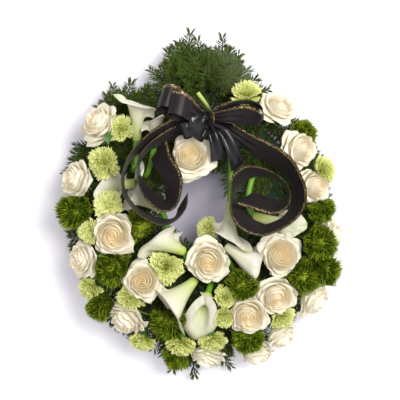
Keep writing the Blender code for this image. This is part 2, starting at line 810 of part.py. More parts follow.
def tail_mesh(stops, steps, pinch, looped=False):
    """A curled ribbon standing on its lower edge, leaning outwards, and pinched where it meets the knot."""
    points = smooth_line([Vector((x, y, z)) * MM for x, y, z, _ in stops], steps)
    leans = [v.x for v in smooth_line([Vector((lean, 0, 0)) for *_, lean in stops], steps)]
    across = []
    last = len(points) - 1
    for k in range(len(points)):
        way = points[min(k + 1, last)] - points[max(k - 1, 0)]
        outward = Vector((-way.y, way.x, 0)).normalized()
        lean = math.radians(leans[k])
        across.append(-outward * math.sin(lean) + Vector((0, 0, math.cos(lean))))

    def width(share):
        """How wide the ribbon is there."""
        free = min(5 * share, 5 * (1 - share)) if looped else 5 * share
        return RIBBON_WIDTH * (pinch + (1 - pinch) * min(1, free))

    return strip_mesh(points, across, width)


def bow_loop(stops, width, pinch, tilt):
    """A loop of the bow, wide at its far end and pinched at the knot."""
    points = smooth_line([Vector(stop) * MM for stop in stops], 2)
    across = [Vector((math.sin(tilt), math.cos(tilt), 0))] * len(points)

    def width_at(share):
        """How wide the ribbon is there."""
        return width * (pinch + (1 - pinch) * math.sin(math.pi * share) ** 0.7)

    return strip_mesh(points, across, width_at)


def satin_tail(stops):
    """A short tail of the satin ribbon, lying nearly flat."""
    points = smooth_line([Vector(stop) * MM for stop in stops], 2)
    way = points[-1] - points[0]
    across = [Vector((-way.y, way.x, 0))] * len(points)

    def width(share):
        """How wide the satin is there."""
        return SATIN_WIDTH * (0.25 + 0.75 * min(1, 2.5 * share))

    return strip_mesh(points, across, width, 1 * MM)


def tie_mesh():
    """The satin ribbon's band round the bow's waist."""
    inner = (KNOT_RADIUS + SEAT_GAP) / math.cos(math.pi / TIE_STEPS)
    outer = inner + 2.5 * MM
    bm = bmesh.new()
    corners = ((inner, -TIE_HALF), (outer, -TIE_HALF), (outer, TIE_HALF), (inner, TIE_HALF))
    points = [bm.verts.new((x, r, 0)) for r, x in corners]
    for k, point in enumerate(points):
        bm.edges.new((point, points[(k + 1) % 4]))
    bmesh.ops.spin(
        bm,
        geom=bm.verts[:] + bm.edges[:],
        cent=(0, 0, 0),
        axis=(1, 0, 0),
        angle=2 * math.pi,
        steps=TIE_STEPS,
        use_merge=True,
    )
    bmesh.ops.remove_doubles(bm, verts=bm.verts, dist=0.01 * MM)
    bm.transform(Matrix.Translation(KNOT))
    return to_mesh("tie", bm)


def pick_top():
    """Where the bow's wire pick leaves the core, beside the band that ties it."""
    return KNOT + Vector((-KNOT_HALF + PICK_RADIUS, 0.7 * KNOT_RADIUS, -0.4 * KNOT_RADIUS))


def add_ribbons(black, satin, collection):
    """The printed ribbon's bow and tails, and the narrow satin ribbon that ties it."""
    half = Vector((KNOT_HALF, 0, 0))
    core = stem_mesh(KNOT - half, KNOT + half, KNOT_RADIUS, TIE_STEPS)
    pick = stem_mesh(pick_top(), PICK_FOOT, PICK_RADIUS)
    loops = [
        bow_loop(BOW_LEFT, RIBBON_WIDTH, 0.22, 0.2),
        bow_loop(BOW_FAR, RIBBON_WIDTH, 0.22, 0.3),
        tail_mesh(BOW_RIGHT, 2, 0.3, True),
    ]
    fused("ribbon_bow", [core, pick, *loops], black, collection)
    left = [tail_mesh(LEFT_TAIL, 2, 0.2), tail_mesh(LEFT_LOOP, 2, 0.4)]
    fused("ribbon_tail_left", left, black, collection)
    fused("ribbon_tail_right", [tail_mesh(RIGHT_TAIL, 1, 0.2)], black, collection)
    ends = [satin_tail(SATIN_LOOP), *[satin_tail(stops) for stops in SATIN_TAILS]]
    fused("satin_ribbon", [tie_mesh(), *ends], satin, collection)


def main():
    """Build the wreath."""
    clear_scene()
    collection = bpy.data.collections.new("funeral_wreath")
    bpy.context.scene.collection.children.link(collection)
    ivory = material("rose_ivory", IVORY, 0.6)
    white = material("calla_white", WHITE, 0.5)
    lime = material("carnation_lime", LIME, 0.7)
    green = material("dianthus_green", GREEN, 0.8)
    fir = material("fir_green", FIR_GREEN, 0.7)
    foam = material("foam_green", FOAM_GREEN, 0.95)
    black = material("ribbon_black", BLACK, 0.45)
    satin = material("satin_black", BLACK, 0.25)
    plastic = material("tray_plastic", FOAM_GREEN, 0.5)

    heads = [bloom_head(bloom) for bloom in ROSES + CARNATIONS + DIANTHUS]
    heads += [calla_head(calla) for calla in CALLAS]

    blooms = ROSES + CARNATIONS + DIANTHUS
    names = [bloom.node for bloom in blooms]
    rooted = [bloom for k, bloom in enumerate(blooms) if bloom.node not in names[:k]]
    angles = [math.degrees(math.atan2(bloom.y, bloom.x)) % 360 for bloom in rooted]
    angles += [math.degrees(math.atan2(calla.stem_from[1], calla.stem_from[0])) % 360 for calla in CALLAS]
    feet = [on_ring(angle, STEM_FOOT_HEIGHT) for angle in spread(angles, STEM_SPACING_DEG)]

    stems = []
    kinds = (
        (ROSES, rose_mesh, ROSE_STEM, ivory),
        (CARNATIONS, carnation_mesh, CARNATION_STEM, lime),
        (DIANTHUS, dianthus_mesh, DIANTHUS_STEM, green),
    )
    for kind, shape, stem_radius, finish in kinds:
        for node in sorted({bloom.node for bloom in kind}):
            group = [bloom for bloom in kind if bloom.node == node]
            foot = feet[rooted.index(group[0])]
            fork = foot.lerp(stem_top(group[0]), FORK_SHARE)
            meshes = []
            for bloom in group:
                low = foot if bloom is group[0] else fork
                meshes += bloom_meshes(bloom, kind.index(bloom), low, heads, shape, stem_radius)
            fused(node, meshes, finish, collection)
            stems.append((stem_top(group[0]), foot, stem_radius))
    for number, calla in enumerate(CALLAS):
        foot = feet[len(rooted) + number]
        fused(calla.node, calla_meshes(calla, foot, heads), white, collection)
        stems.append((calla_entry(calla), foot, calla.stem_radius * MM))
    for branch in BRANCHES:
        fused(branch.node, branch_meshes(branch), fir, collection)
        foot, hub = branch_ends(branch)
        stems.append((hub, foot, BRANCH_RADIUS))
    stems.append((pick_top(), PICK_FOOT, PICK_RADIUS))
    add_ribbons(black, satin, collection)
    add_tray(plastic, collection)
    add_foam(stems, foam, collection)


main()
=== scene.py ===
"""The looks of a round funeral wreath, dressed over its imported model.

Roses, calla lilies, carnations, green dianthus balls and fir stand in a ring of floral foam in a plastic
tray. A black printed ribbon forms the bow and its two curled tails, and a narrow satin ribbon ties it. Sizes
in the tables are in millimetres, and the meshes are in metres, in the model's own frame.
"""

import logging
import math
from abc import ABC, abstractmethod
from collections.abc import Callable, Sequence
from dataclasses import dataclass, field
from enum import Enum
from functools import cached_property
from itertools import groupby
from operator import attrgetter

import bpy
import numpy as np
from mathutils import Matrix, Vector


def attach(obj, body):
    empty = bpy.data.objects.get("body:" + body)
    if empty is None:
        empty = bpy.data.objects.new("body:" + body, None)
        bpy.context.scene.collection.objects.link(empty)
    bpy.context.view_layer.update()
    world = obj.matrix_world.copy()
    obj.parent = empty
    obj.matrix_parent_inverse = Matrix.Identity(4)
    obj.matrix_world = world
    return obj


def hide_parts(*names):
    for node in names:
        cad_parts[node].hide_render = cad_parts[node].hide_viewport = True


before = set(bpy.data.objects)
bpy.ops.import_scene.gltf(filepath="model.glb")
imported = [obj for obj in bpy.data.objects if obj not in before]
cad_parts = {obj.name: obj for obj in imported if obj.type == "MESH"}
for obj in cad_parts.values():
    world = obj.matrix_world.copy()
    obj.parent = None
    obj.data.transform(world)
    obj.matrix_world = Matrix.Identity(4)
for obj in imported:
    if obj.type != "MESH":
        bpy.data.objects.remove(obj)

LOG = logging.getLogger("wreath")
MM = 0.001
TURN = 2 * math.pi
GOLDEN_ANGLE = 2.39996
Array = np.ndarray
Colour = tuple[float, float, float]
Stops = Sequence[Sequence[float]]

# The ring of foam, its tray and the stems in it
RING_RADIUS = 140 * MM
FOAM_WIDTH = 68 * MM
FOAM_TOP = 56 * MM
FOAM_CHAMFER = 10 * MM
TRAY_WALL = 2 * MM
TRAY_LIP = 13 * MM
SEAT_GAP = 0.3 * MM
STEM_FOOT_HEIGHT = 24 * MM
STEM_BEND_HEIGHT = 8 * MM
STEM_SPACING_DEG = 4.0
FORK_SHARE = 0.54
# The dome that the blooms form: how far it reaches outwards and inwards, its foot and its rise
DOME_OUTWARDS = 138 * MM
DOME_INWARDS = 118 * MM
DOME_FOOT = 40 * MM
DOME_RISE = 66 * MM
DOME_EDGE = 0.16
# How much wider than its size a bloom opens, and how neighbours press on each other
FULLNESS = 1.16
FLOWER_FLOOR = 31 * MM
NEIGHBOUR_REACH = 1.25
PRESS_OVERLAP = 5 * MM
PRESS_SWAY = 2.2 * MM
PRESS_SOFTNESS = 9 * MM
FIRMNESS = {"rose": 4 * MM, "dianthus": -3 * MM}


def vec(*values: float) -> Array:
    """A numpy vector of the values."""
    return np.array(values, float)


def unit(vectors: Array) -> Array:
    """The vectors at length one, along the last axis."""
    return vectors / np.maximum(np.linalg.norm(vectors, axis=-1, keepdims=True), 1e-12)


def direction(azimuth: float, elevation: float) -> Array:
    """Unit vector that faces this way, in degrees round +Z from +X and above the horizon."""
    a, e = math.radians(azimuth), math.radians(elevation)
    return vec(math.cos(a) * math.cos(e), math.sin(a) * math.cos(e), math.sin(e))


def on_ring(angle: float, height: float = STEM_FOOT_HEIGHT, radius: float = RING_RADIUS) -> Array:
    """The point of the ring at this angle in degrees."""
    a = math.radians(angle)
    return vec(radius * math.cos(a), radius * math.sin(a), height)


def basis(axis: Array, turn: float = 0.0) -> Array:
    """The 3 by 3 rotation that takes +Z to the axis, after a turn about +Z in radians."""
    quat = Vector(axis).to_track_quat("Z", "Y").to_matrix()
    return np.array(quat @ Matrix.Rotation(turn, 3, "Z"))


def together(*parts: Array | float) -> Array:
    """The parts, spread to one shape, as one array of vectors."""
    return np.stack(np.broadcast_arrays(*parts), -1)


def upright(heights: Array) -> Array:
    """Points on the axis of Z at these heights."""
    return together(0.0, 0.0, heights)


def shares(count: int, start: float = 0.0) -> Array:
    """Even shares from the start to 1, as a column."""
    return np.linspace(start, 1, count)[:, None]


def each(draw: np.random.Generator, count: int, low: float = -1, high: float = 1) -> Array:
    """One random number for each of so many petals, as (petals, 1, 1)."""
    return draw.uniform(low, high, (count, 1, 1))


def petal_grid(rows: int, columns: int) -> tuple[Array, Array]:
    """How far along a petal its rows lie, 0 to 1, and how far across it its columns, -1 to 1."""
    return np.linspace(0, 1, rows)[None, :, None], np.linspace(-1, 1, columns)[None, None, :]


def scaled(colour: Colour, share: float) -> Colour:
    """The colour, brighter or darker by the share."""
    return tuple(share * part for part in colour)


def bezier(a: Array | float, b: Array | float, c: Array | float, d: Array | float, t: Array) -> Array:
    """Cubic curve at shares t along it, through a and d with the handles b and c."""
    s = 1 - t
    return a * s**3 + b * 3 * s * s * t + c * 3 * s * t * t + d * t**3


def smooth_line(stops: Stops, steps: int) -> Array:
    """Catmull-Rom curve through the stops.

    Args:
        stops: The points that the curve passes, each of the same length.
        steps: How many steps lie between each pair.

    Returns:
        The curve's points, one row each.
    """
    given = np.array(stops, float)
    padded = np.concatenate([given[:1], given, given[-1:]])
    a, b, c, d = padded[:-3, None], padded[1:-2, None], padded[2:-1, None], padded[3:, None]
    t = (np.arange(steps) / steps)[None, :, None]
    line = 0.5 * (2 * b + (c - a) * t + (2 * a - 5 * b + 4 * c - d) * t**2 + (3 * b - a - 3 * c + d) * t**3)
    return np.concatenate([line.reshape(-1, given.shape[1]), given[-1:]])


class Attribute(Enum):
    """The numbers that a mesh keeps for its finish, as two vectors per point."""

    PLACE = "place"
    SHADE = "shade"


class Signal:
    """A shader socket whose Python operators add Math nodes."""

    def __init__(self, sheet: "NodeSheet", socket: bpy.types.NodeSocket) -> None:
        """Wrap the socket of a node on the sheet."""
        self.sheet = sheet
        self.socket = socket

    def _math(self, operation: str, *values: "Signal | float", clamp: bool = False) -> "Signal":
        """A Math node on the values."""
        settings = {"operation": operation, "use_clamp": clamp}
        node = self.sheet.node("ShaderNodeMath", settings, dict(enumerate(values)))
        return Signal(self.sheet, node.outputs[0])

    def __add__(self, other: "Signal | float") -> "Signal":
        """Sum."""
        return self._math("ADD", self, other)

    __radd__ = __add__

    def __sub__(self, other: "Signal | float") -> "Signal":
        """Difference."""
        return self._math("SUBTRACT", self, other)

    def __rsub__(self, other: float) -> "Signal":
        """Difference from a number."""
        return self._math("SUBTRACT", other, self)

    def __mul__(self, other: "Signal | float") -> "Signal":
        """Product."""
        return self._math("MULTIPLY", self, other)

    __rmul__ = __mul__

    def __pow__(self, other: float) -> "Signal":
        """Power."""
        return self._math("POWER", self, other)

    def __abs__(self) -> "Signal":
        """Size without sign."""
        return self._math("ABSOLUTE", self)

    def held(self) -> "Signal":
        """The value, kept from 0 to 1."""
        return self._math("ADD", self, 0.0, clamp=True)

    def band(self, low: float, high: float) -> "Signal":
        """0 below the low value and 1 above the high one, with a smooth rise between them."""
        node = self.sheet.node(
            "ShaderNodeMapRange", {"interpolation_type": "SMOOTHSTEP"}, {0: self, 1: low, 2: high}
        )
        return Signal(self.sheet, node.outputs[0])


class NodeSheet:
    """The nodes of one material."""

    def __init__(self, name: str) -> None:
        """Start a material of this name with only its shader and output."""
        self.material = bpy.data.materials.new(name)
        self.material.use_nodes = True
        self.tree = self.material.node_tree
        self.shader = self.tree.nodes["Principled BSDF"]

    def node(self, kind: str, settings: dict | None = None, inputs: dict | None = None) -> bpy.types.Node:
        """Add a node.

        Args:
            kind: The node's type.
            settings: What is set on the node first.
            inputs: Values or links of its sockets, by name or number.

        Returns:
            The node.
        """
        made = self.tree.nodes.new(kind)
        for name, value in (settings or {}).items():
            setattr(made, name, value)
        for key, value in (inputs or {}).items():
            self.feed(made.inputs[key], value)
        return made

    def feed(self, socket: bpy.types.NodeSocket, value: object) -> None:
        """Link the value to the socket, or set it there."""
        if isinstance(value, Signal):
            value = value.socket
        if isinstance(value, bpy.types.NodeSocket):
            self.tree.links.new(value, socket)
        elif isinstance(value, tuple) and socket.type == "RGBA":
            socket.default_value = (*value, 1)
        else:
            socket.default_value = value

    def set(self, **values: object) -> None:
        """Set or link sockets of the shader, whose names have _ for each space."""
        for name, value in values.items():
            self.feed(self.shader.inputs[name.replace("_", " ")], value)

    def split(self, vector: bpy.types.NodeSocket) -> tuple[Signal, Signal, Signal]:
        """The three numbers of a vector."""
        made = self.node("ShaderNodeSeparateXYZ", {}, {0: vector})
        return tuple(Signal(self, output) for output in made.outputs)

    def parts(self, kind: Attribute) -> tuple[Signal, Signal, Signal]:
        """The three numbers of one of the mesh's vectors."""
        return self.split(self.node("ShaderNodeAttribute", {"attribute_name": kind.value}).outputs["Vector"])

    def space(self) -> bpy.types.NodeSocket:
        """Where a point is in the object's own space."""
        return self.node("ShaderNodeTexCoord").outputs["Object"]

    def mix(self, share: Signal | float, first: object, second: object) -> bpy.types.NodeSocket:
        """Two colours mixed by a share of the second."""
        return self.node("ShaderNodeMix", {"data_type": "RGBA"}, {0: share, 6: first, 7: second}).outputs[2]

    def vector(self, x: Signal | float, y: Signal | float, z: Signal | float = 0.0) -> bpy.types.NodeSocket:
        """A vector of three numbers."""
        return self.node("ShaderNodeCombineXYZ", {}, {0: x, 1: y, 2: z}).outputs[0]

    def noise(self, where: bpy.types.NodeSocket | None, scale: float, detail: float = 2.0) -> Signal:
        """Noise from 0 to 1 at a scale, over the object's own space unless a vector is given."""
        inputs = {"Vector": where or self.space(), "Scale": scale, "Detail": detail}
        return Signal(self, self.node("ShaderNodeTexNoise", {}, inputs).outputs[0])

    def bump(self, height: Signal, depth: float) -> None:
        """Raise the surface by the height times the depth, in metres."""
        made = self.node("ShaderNodeBump", {}, {"Height": height, "Distance": depth, "Strength": 1.0})
        self.set(Normal=made.outputs[0])


@dataclass(frozen=True)
class PetalFinish:
    """A flower's petals: pale, warmer in the heart, green where thick or outermost, and finely veined.

    Deep in the bloom they are darkened, which is painted shade, and they glow all over, warmest in the heart,
    which is painted light.
    """

    name: str
    pale: Colour
    warm: Colour
    green: Colour
    roughness: float = 0.55
    vein_count: float = 26.0
    vein_depth: float = 0.12 * MM
    mottle: float = 0.10
    glow: float = 0.15
    # Painted shade deep in the bloom: how far the colour darkens there, and to what share of the warm colour.
    dark: float = 0.3
    depth: float = 0.62
    # Painted glow all over the petals: its strength, and its colour where they are warm.
    painted_glow_strength: float = 0.10
    heart: Colour = (0.3, 0.3, 0.1)

    def material(self) -> bpy.types.Material:
        """The petals' material."""
        sheet = NodeSheet(self.name)
        across, along, number = sheet.parts(Attribute.PLACE)
        warmth, greenness, deep = sheet.parts(Attribute.SHADE)
        veins = sheet.noise(sheet.vector(across * self.vein_count, along * 2.2, number), 1.0, 3.0)
        clouds = sheet.noise(None, 120.0, 3.0)
        tint = sheet.mix(warmth.held(), self.pale, self.warm)
        spread = (greenness + (clouds - 0.5) * 0.5 * greenness).held()
        tint = sheet.mix(spread, tint, self.green)
        veined = (veins.band(0.45, 0.75) * self.mottle * (0.4 + greenness)).held()
        tint = sheet.mix(veined, tint, scaled(self.green, 0.72))
        # The colour darkens deep in the bloom, a painted shade, and the emission is a painted glow that lifts
        # the shade, warmest in the heart.
        sheet.set(
            Base_Color=sheet.mix((deep * self.dark).held(), tint, scaled(self.warm, self.depth)),
            Roughness=self.roughness,
            Subsurface_Weight=self.glow,
            Subsurface_Scale=7 * MM,
            Sheen_Weight=0.03,
            Specular_IOR_Level=0.14,
            Emission_Color=sheet.mix(warmth.held(), scaled(self.pale, 0.5), self.heart),
            Emission_Strength=self.painted_glow_strength,
        )
        sheet.shader.inputs["Subsurface Radius"].default_value = (1.0, 0.9, 0.7)
        sheet.bump(veins + clouds * 0.8, self.vein_depth)
        return sheet.material


@dataclass(frozen=True)
class BladeFinish:
    """Needles or fine green filaments: dark at the foot and brighter at the tip, and not all alike.

    The dark foot is painted shade among the blades, and each ridge can carry a painted highlight.
    """

    name: str
    foot: Colour
    tip: Colour
    other: Colour
    roughness: float = 0.6
    # How strong the painted highlight along each ridge is, and how soon the painted shade at the foot gives
    # way to the tip's colour.
    ridge: float = 0.0
    curve: float = 1.8

    def material(self) -> bpy.types.Material:
        """The blades' material."""
        sheet = NodeSheet(self.name)
        height, tone, ridge = sheet.parts(Attribute.SHADE)
        patches = sheet.noise(None, 60.0, 2.0)
        # Near black at each blade's foot: painted shade among the blades.
        tint = sheet.mix((height**self.curve).held(), self.foot, self.tip)
        tint = sheet.mix((tone * (0.35 + patches)).held(), tint, self.other)
        # A painted highlight along each blade's ridge.
        painted_ridge_highlight = sheet.mix((ridge * self.ridge).held(), tint, scaled(self.tip, 1.9))
        sheet.set(Base_Color=painted_ridge_highlight, Roughness=self.roughness, Specular_IOR_Level=0.08)
        sheet.bump(sheet.noise(None, 2500.0, 1.0), 0.05 * MM)
        return sheet.material


@dataclass(frozen=True)
class StemFinish:
    """A green stem or bark with lengthwise streaks."""

    name: str
    light: Colour
    dark: Colour
    roughness: float = 0.45
    streaks: float = 14.0

    def material(self) -> bpy.types.Material:
        """The stem's material."""
        sheet = NodeSheet(self.name)
        around, along, _ = sheet.parts(Attribute.PLACE)
        lines = sheet.noise(sheet.vector(around * self.streaks, along * 3.0), 1.0, 4.0)
        spots = sheet.noise(None, 900.0, 2.0)
        share = (lines.band(0.35, 0.65) * 0.7 + spots * 0.3).held()
        sheet.set(Base_Color=sheet.mix(share, self.dark, self.light), Roughness=self.roughness)
        sheet.bump(lines + spots, 0.15 * MM)
        return sheet.material


@dataclass(frozen=True)
class RibbonFinish:
    """Black ribbon: fine ribs across it, and where it is printed a line of gold glitter along one edge.

    The band of glitter is placed in millimetres from the ribbon's middle, and its specks glow, a painted
    glint.
    """

    name: str
    cloth: Colour = (0.0140, 0.0108, 0.0116)
    roughness: float = 0.40
    specular: float = 0.20
    sheen: float = 0.08
    glitter: bool = True
    gold: Colour = (0.85, 0.55, 0.14)
    pale_gold: Colour = (0.95, 0.78, 0.42)
    # The colour of the glitter's glow: a painted glint.
    painted_glint_gold: Colour = (0.85, 0.55, 0.16)
    band_middle: float = 16.2
    band_half: float = 2.1

    def specks(self, sheet: NodeSheet, across: Signal, along: Signal) -> tuple[Signal, Signal]:
        """The specks of the glitter.

        Args:
            sheet: The material's nodes.
            across: Millimetres from the ribbon's middle.
            along: Millimetres along it.

        Returns:
            Where a speck is, 0 to 1, and a random number for each.
        """
        sway = (sheet.noise(sheet.vector(along * 0.16, 3.0), 1.0, 1.0) - 0.5) * 4.5
        off = abs(across - self.band_middle + sway)
        inside = 1 - off.band(self.band_half * 0.7, self.band_half * 1.5)
        inputs = {"Vector": sheet.vector(across, along), "Scale": 1.15, "Randomness": 1.0}
        grains = sheet.node("ShaderNodeTexVoronoi", {"feature": "F1"}, inputs)
        near = 1 - Signal(sheet, grains.outputs["Distance"]).band(0.30, 0.48)
        split = sheet.node("ShaderNodeSeparateColor", {}, {0: grains.outputs["Color"]})
        lucky = Signal(sheet, split.outputs[0]).band(0.30, 0.42)
        return (inside * near * lucky).held(), Signal(sheet, split.outputs[1])

    def material(self) -> bpy.types.Material:
        """The ribbon's material, whose place is millimetres across and along the cloth."""
        sheet = NodeSheet(self.name)
        across, along, _ = sheet.parts(Attribute.PLACE)
        height = sheet.noise(sheet.vector(across * 0.4, along * 9.0), 1.0, 2.0) * 0.35
        broad = sheet.noise(sheet.vector(across * 0.12, along * 0.05), 1.0, 3.0)
        colour = sheet.mix(broad, self.cloth, scaled(self.cloth, 1.8))
        rough = (broad - 0.5) * 0.12 + self.roughness
        if self.glitter:
            specks, worn = self.specks(sheet, across, along)
            colour = sheet.mix(specks, colour, sheet.mix(worn, self.gold, self.pale_gold))
            rough = rough - specks * 0.14
            height = height + specks * 2.0
            # The specks glow: a painted glint.
            painted_glint = sheet.mix(specks, (0.0, 0.0, 0.0), self.painted_glint_gold)
            sheet.set(Metallic=specks * 0.8, Emission_Color=painted_glint, Emission_Strength=0.45)
        sheet.set(Base_Color=colour, Roughness=rough.held())
        sheet.set(Specular_IOR_Level=self.specular, Sheen_Weight=self.sheen, Sheen_Roughness=0.4)
        sheet.bump(height, 0.06 * MM)
        return sheet.material


@dataclass(frozen=True)
class GrainFinish:
    """A plain material with fine grain: foam, plastic, wire or spadix."""

    name: str
    light: Colour
    dark: Colour
    roughness: float
    grain: float
    depth: float
    metallic: float = 0.0

    def material(self) -> bpy.types.Material:
        """The grained material."""
        sheet = NodeSheet(self.name)
        fine = sheet.noise(None, self.grain, 4.0)
        sheet.set(
            Base_Color=sheet.mix(fine.band(0.3, 0.7), self.dark, self.light),
            Roughness=self.roughness,
            Metallic=self.metallic,
        )
        sheet.bump(fine, self.depth)
        return sheet.material


class Finish(Enum):
    """Every finish of the wreath. Its material is made when a piece first takes it."""

    # Each petal finish paints shade deep in the bloom through its dark and depth, and a painted glow through
    # its heart colour and glow strength.
    ROSE = PetalFinish(
        "rose_petals", (0.865, 0.81, 0.70), (0.94, 0.80, 0.47), (0.58, 0.61, 0.30),
        mottle=0.14, glow=0.03, painted_glow_strength=0.20, dark=0.34, heart=(0.92, 0.78, 0.44),
    )
    CALLA = PetalFinish(
        "calla_spathe", (0.83, 0.79, 0.735), (0.80, 0.80, 0.55), (0.44, 0.56, 0.05),
        roughness=0.42, vein_count=18.0, vein_depth=0.2 * MM,
    )
    CARNATION = PetalFinish(
        "carnation_petals", (0.90, 0.92, 0.46), (0.52, 0.58, 0.05), (0.46, 0.56, 0.06),
        roughness=0.6, vein_count=14.0, glow=0.03, dark=1.0, depth=0.42, painted_glow_strength=0.20, heart=(0.34, 0.36, 0.01),
    )
    # The near-black foot is painted shade among the filaments; the dark other colour is random tone and also
    # painted shade between the tufts.
    DIANTHUS = BladeFinish(
        "dianthus_filaments", (0.003, 0.010, 0.001), (0.50, 0.66, 0.04), (0.018, 0.064, 0.002), curve=1.9
    )
    # The near-black foot is painted shade among the needles, and the ridge sets a painted highlight.
    FIR = BladeFinish(
        "fir_needles", (0.001, 0.003, 0.001), (0.105, 0.175, 0.014), (0.155, 0.180, 0.115),
        roughness=0.5, ridge=0.7, curve=3.2,
    )
    BARK = StemFinish("fir_bark", (0.075, 0.055, 0.030), (0.030, 0.024, 0.014), 0.85, 9.0)
    STEM = StemFinish("flower_stem", (0.10, 0.24, 0.04), (0.05, 0.14, 0.02))
    CALLA_STEM = StemFinish("calla_stem", (0.20, 0.44, 0.035), (0.11, 0.29, 0.015), 0.35)
    CUT_STEM = StemFinish("cut_stem", (0.66, 0.74, 0.24), (0.44, 0.58, 0.10), 0.5)
    SPADIX = GrainFinish("spadix_yellow", (0.85, 0.62, 0.10), (0.62, 0.38, 0.03), 0.7, 700.0, 0.5 * MM)
    PRINTED = RibbonFinish("printed_ribbon")
    SATIN = RibbonFinish("satin_ribbon", (0.008, 0.0075, 0.010), 0.22, 0.6, 0.03, glitter=False)
    # The foam is near-black green: painted shade in the gaps between the blooms.
    PAINTED_SHADE_FOAM = GrainFinish("floral_foam_painted_shade", (0.018, 0.055, 0.025), (0.006, 0.024, 0.010), 0.95, 900.0, 0.6 * MM)
    TRAY = GrainFinish("tray_plastic", (0.028, 0.085, 0.045), (0.022, 0.07, 0.036), 0.5, 300.0, 0.05 * MM)
    WIRE = GrainFinish("pick_wire", (0.10, 0.16, 0.09), (0.05, 0.09, 0.05), 0.5, 600.0, 0.05 * MM, 0.6)

    @cached_property
    def material(self) -> bpy.types.Material:
        """Its one material."""
        return self.value.material()


@dataclass
class Shape:
    """Closed surfaces that are gathered into one mesh, with two vectors per point for its finish."""

    points: list[Array] = field(default_factory=list)
    place: list[Array] = field(default_factory=list)
    shade: list[Array] = field(default_factory=list)
    faces: list[Array] = field(default_factory=list)
    slots: list[int] = field(default_factory=list)
    count: int = 0

    def add(self, points: Array, faces: Array, place: Array, shade: Array, slot: int = 0) -> None:
        """Add one batch of surfaces.

        Args:
            points: The points, one row each.
            faces: The points' numbers round each face, all with as many corners.
            place: One vector, or one per point: where the point is on its petal, blade or cloth.
            shade: One vector, or one per point: what the finish tints there.
            slot: The number of the finish.
        """
        self.points.append(points)
        self.place.append(np.broadcast_to(place, points.shape))
        self.shade.append(np.broadcast_to(shade, points.shape))
        self.faces.append(faces + self.count)
        self.slots.append(slot)
        self.count += len(points)

    def move(self, change: Callable[[Array], Array]) -> None:
        """Replace every point by what the change makes of it."""
        self.points = [change(points) for points in self.points]

    def take(self, other: "Shape") -> None:
        """Add all that the other shape holds."""
        self.points += other.points
        self.place += other.place
        self.shade += other.shade
        self.faces += [faces + self.count for faces in other.faces]
        self.slots += other.slots
        self.count += other.count

    def mesh(self, name: str) -> bpy.types.Mesh:
        """The mesh of every surface, with its finishes' numbers and its points' vectors."""
        mesh = bpy.data.meshes.new(name)
        points = np.concatenate(self.points)
        mesh.vertices.add(len(points))
        mesh.vertices.foreach_set("co", points.astype(np.float32).ravel())
        corners = np.concatenate([faces.ravel() for faces in self.faces])
        sizes = np.concatenate([np.full(len(faces), faces.shape[1]) for faces in self.faces])
        mesh.loops.add(len(corners))
        mesh.loops.foreach_set("vertex_index", corners.astype(np.int32))
        mesh.polygons.add(len(sizes))
        mesh.polygons.foreach_set("loop_start", (np.cumsum(sizes) - sizes).astype(np.int32))
        slots = np.concatenate([np.full(len(faces), slot) for faces, slot in zip(self.faces, self.slots)])
        mesh.polygons.foreach_set("material_index", slots.astype(np.int32))
        for kind, batches in ((Attribute.PLACE, self.place), (Attribute.SHADE, self.shade)):
            kept = mesh.attributes.new(kind.value, "FLOAT_VECTOR", "POINT")
            kept.data.foreach_set("vector", np.concatenate(batches).astype(np.float32).ravel())
        return mesh

    def piece(
        self, name: str, finishes: Sequence[Finish], slot: str, node: str = "", crease: float = 60
    ) -> bpy.types.Object:
        """Make the mesh and its object, riding on the wreath.

        Args:
            name: The piece's name.
            finishes: The finishes, in the order of their numbers.
            slot: The material slot of the model; not used.
            node: The node of the model that it replaces, if any.
            crease: Edges sharper than this many degrees stay sharp.

        Returns:
            The piece.
        """
        mesh = self.mesh(name)
        for finish in finishes:
            mesh.materials.append(finish.material)
        mesh.update(calc_edges=True)
        mesh.validate()
        mesh.shade_smooth()
        mesh.set_sharp_from_angle(angle=math.radians(crease))
        made = bpy.data.objects.new(name, mesh)
        bpy.context.scene.collection.objects.link(made)
        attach(made, "root")
        if node:
            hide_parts(node)
        LOG.info("%s: %d faces", name, len(mesh.polygons))
        return made


def add_sheets(
    shape: Shape, front: Array, thickness: float, place: Array, shade: Array, slot: int = 0
) -> None:
    """Add thin closed sheets whose two faces meet in their edges.

    Args:
        shape: The shape that they are added to.
        front: The points of each sheet's front, as (sheets, rows, columns, 3).
        thickness: The thickness at the sheets' middles, in metres.
        place: A vector for each of the points.
        shade: A vector for each of the points.
        slot: The number of the finish.
    """
    sheets, rows, columns, _ = front.shape
    across, along = np.gradient(front, axis=2), np.gradient(front, axis=1)
    back = (front - unit(np.cross(across, along)) * thickness)[:, 1:-1, 1:-1]
    inner = (rows - 2) * (columns - 2)
    near = np.arange(rows * columns).reshape(rows, columns)
    far = near.copy()
    far[1:-1, 1:-1] = rows * columns + np.arange(inner).reshape(rows - 2, columns - 2)
    quads = [
        np.stack([grid[:-1, :-1], grid[:-1, 1:], grid[1:, 1:], grid[1:, :-1]], -1).reshape(-1, 4)
        for grid in (near, far)
    ]
    quads[1] = quads[1][:, ::-1]
    each_sheet = rows * columns + inner
    faces = np.concatenate(quads)[None] + (np.arange(sheets) * each_sheet)[:, None, None]

    def both(whole: Array, behind: Array) -> Array:
        """The rows of the front's points and then of the back's, sheet by sheet."""
        halves = [whole.reshape(sheets, -1, 3), behind.reshape(sheets, -1, 3)]
        return np.concatenate(halves, 1).reshape(-1, 3)

    place, shade = (np.broadcast_to(grid, front.shape) for grid in (place, shade))
    place, shade = (both(grid, grid[:, 1:-1, 1:-1]) for grid in (place, shade))
    shape.add(both(front, back), faces.reshape(-1, 4), place, shade, slot)


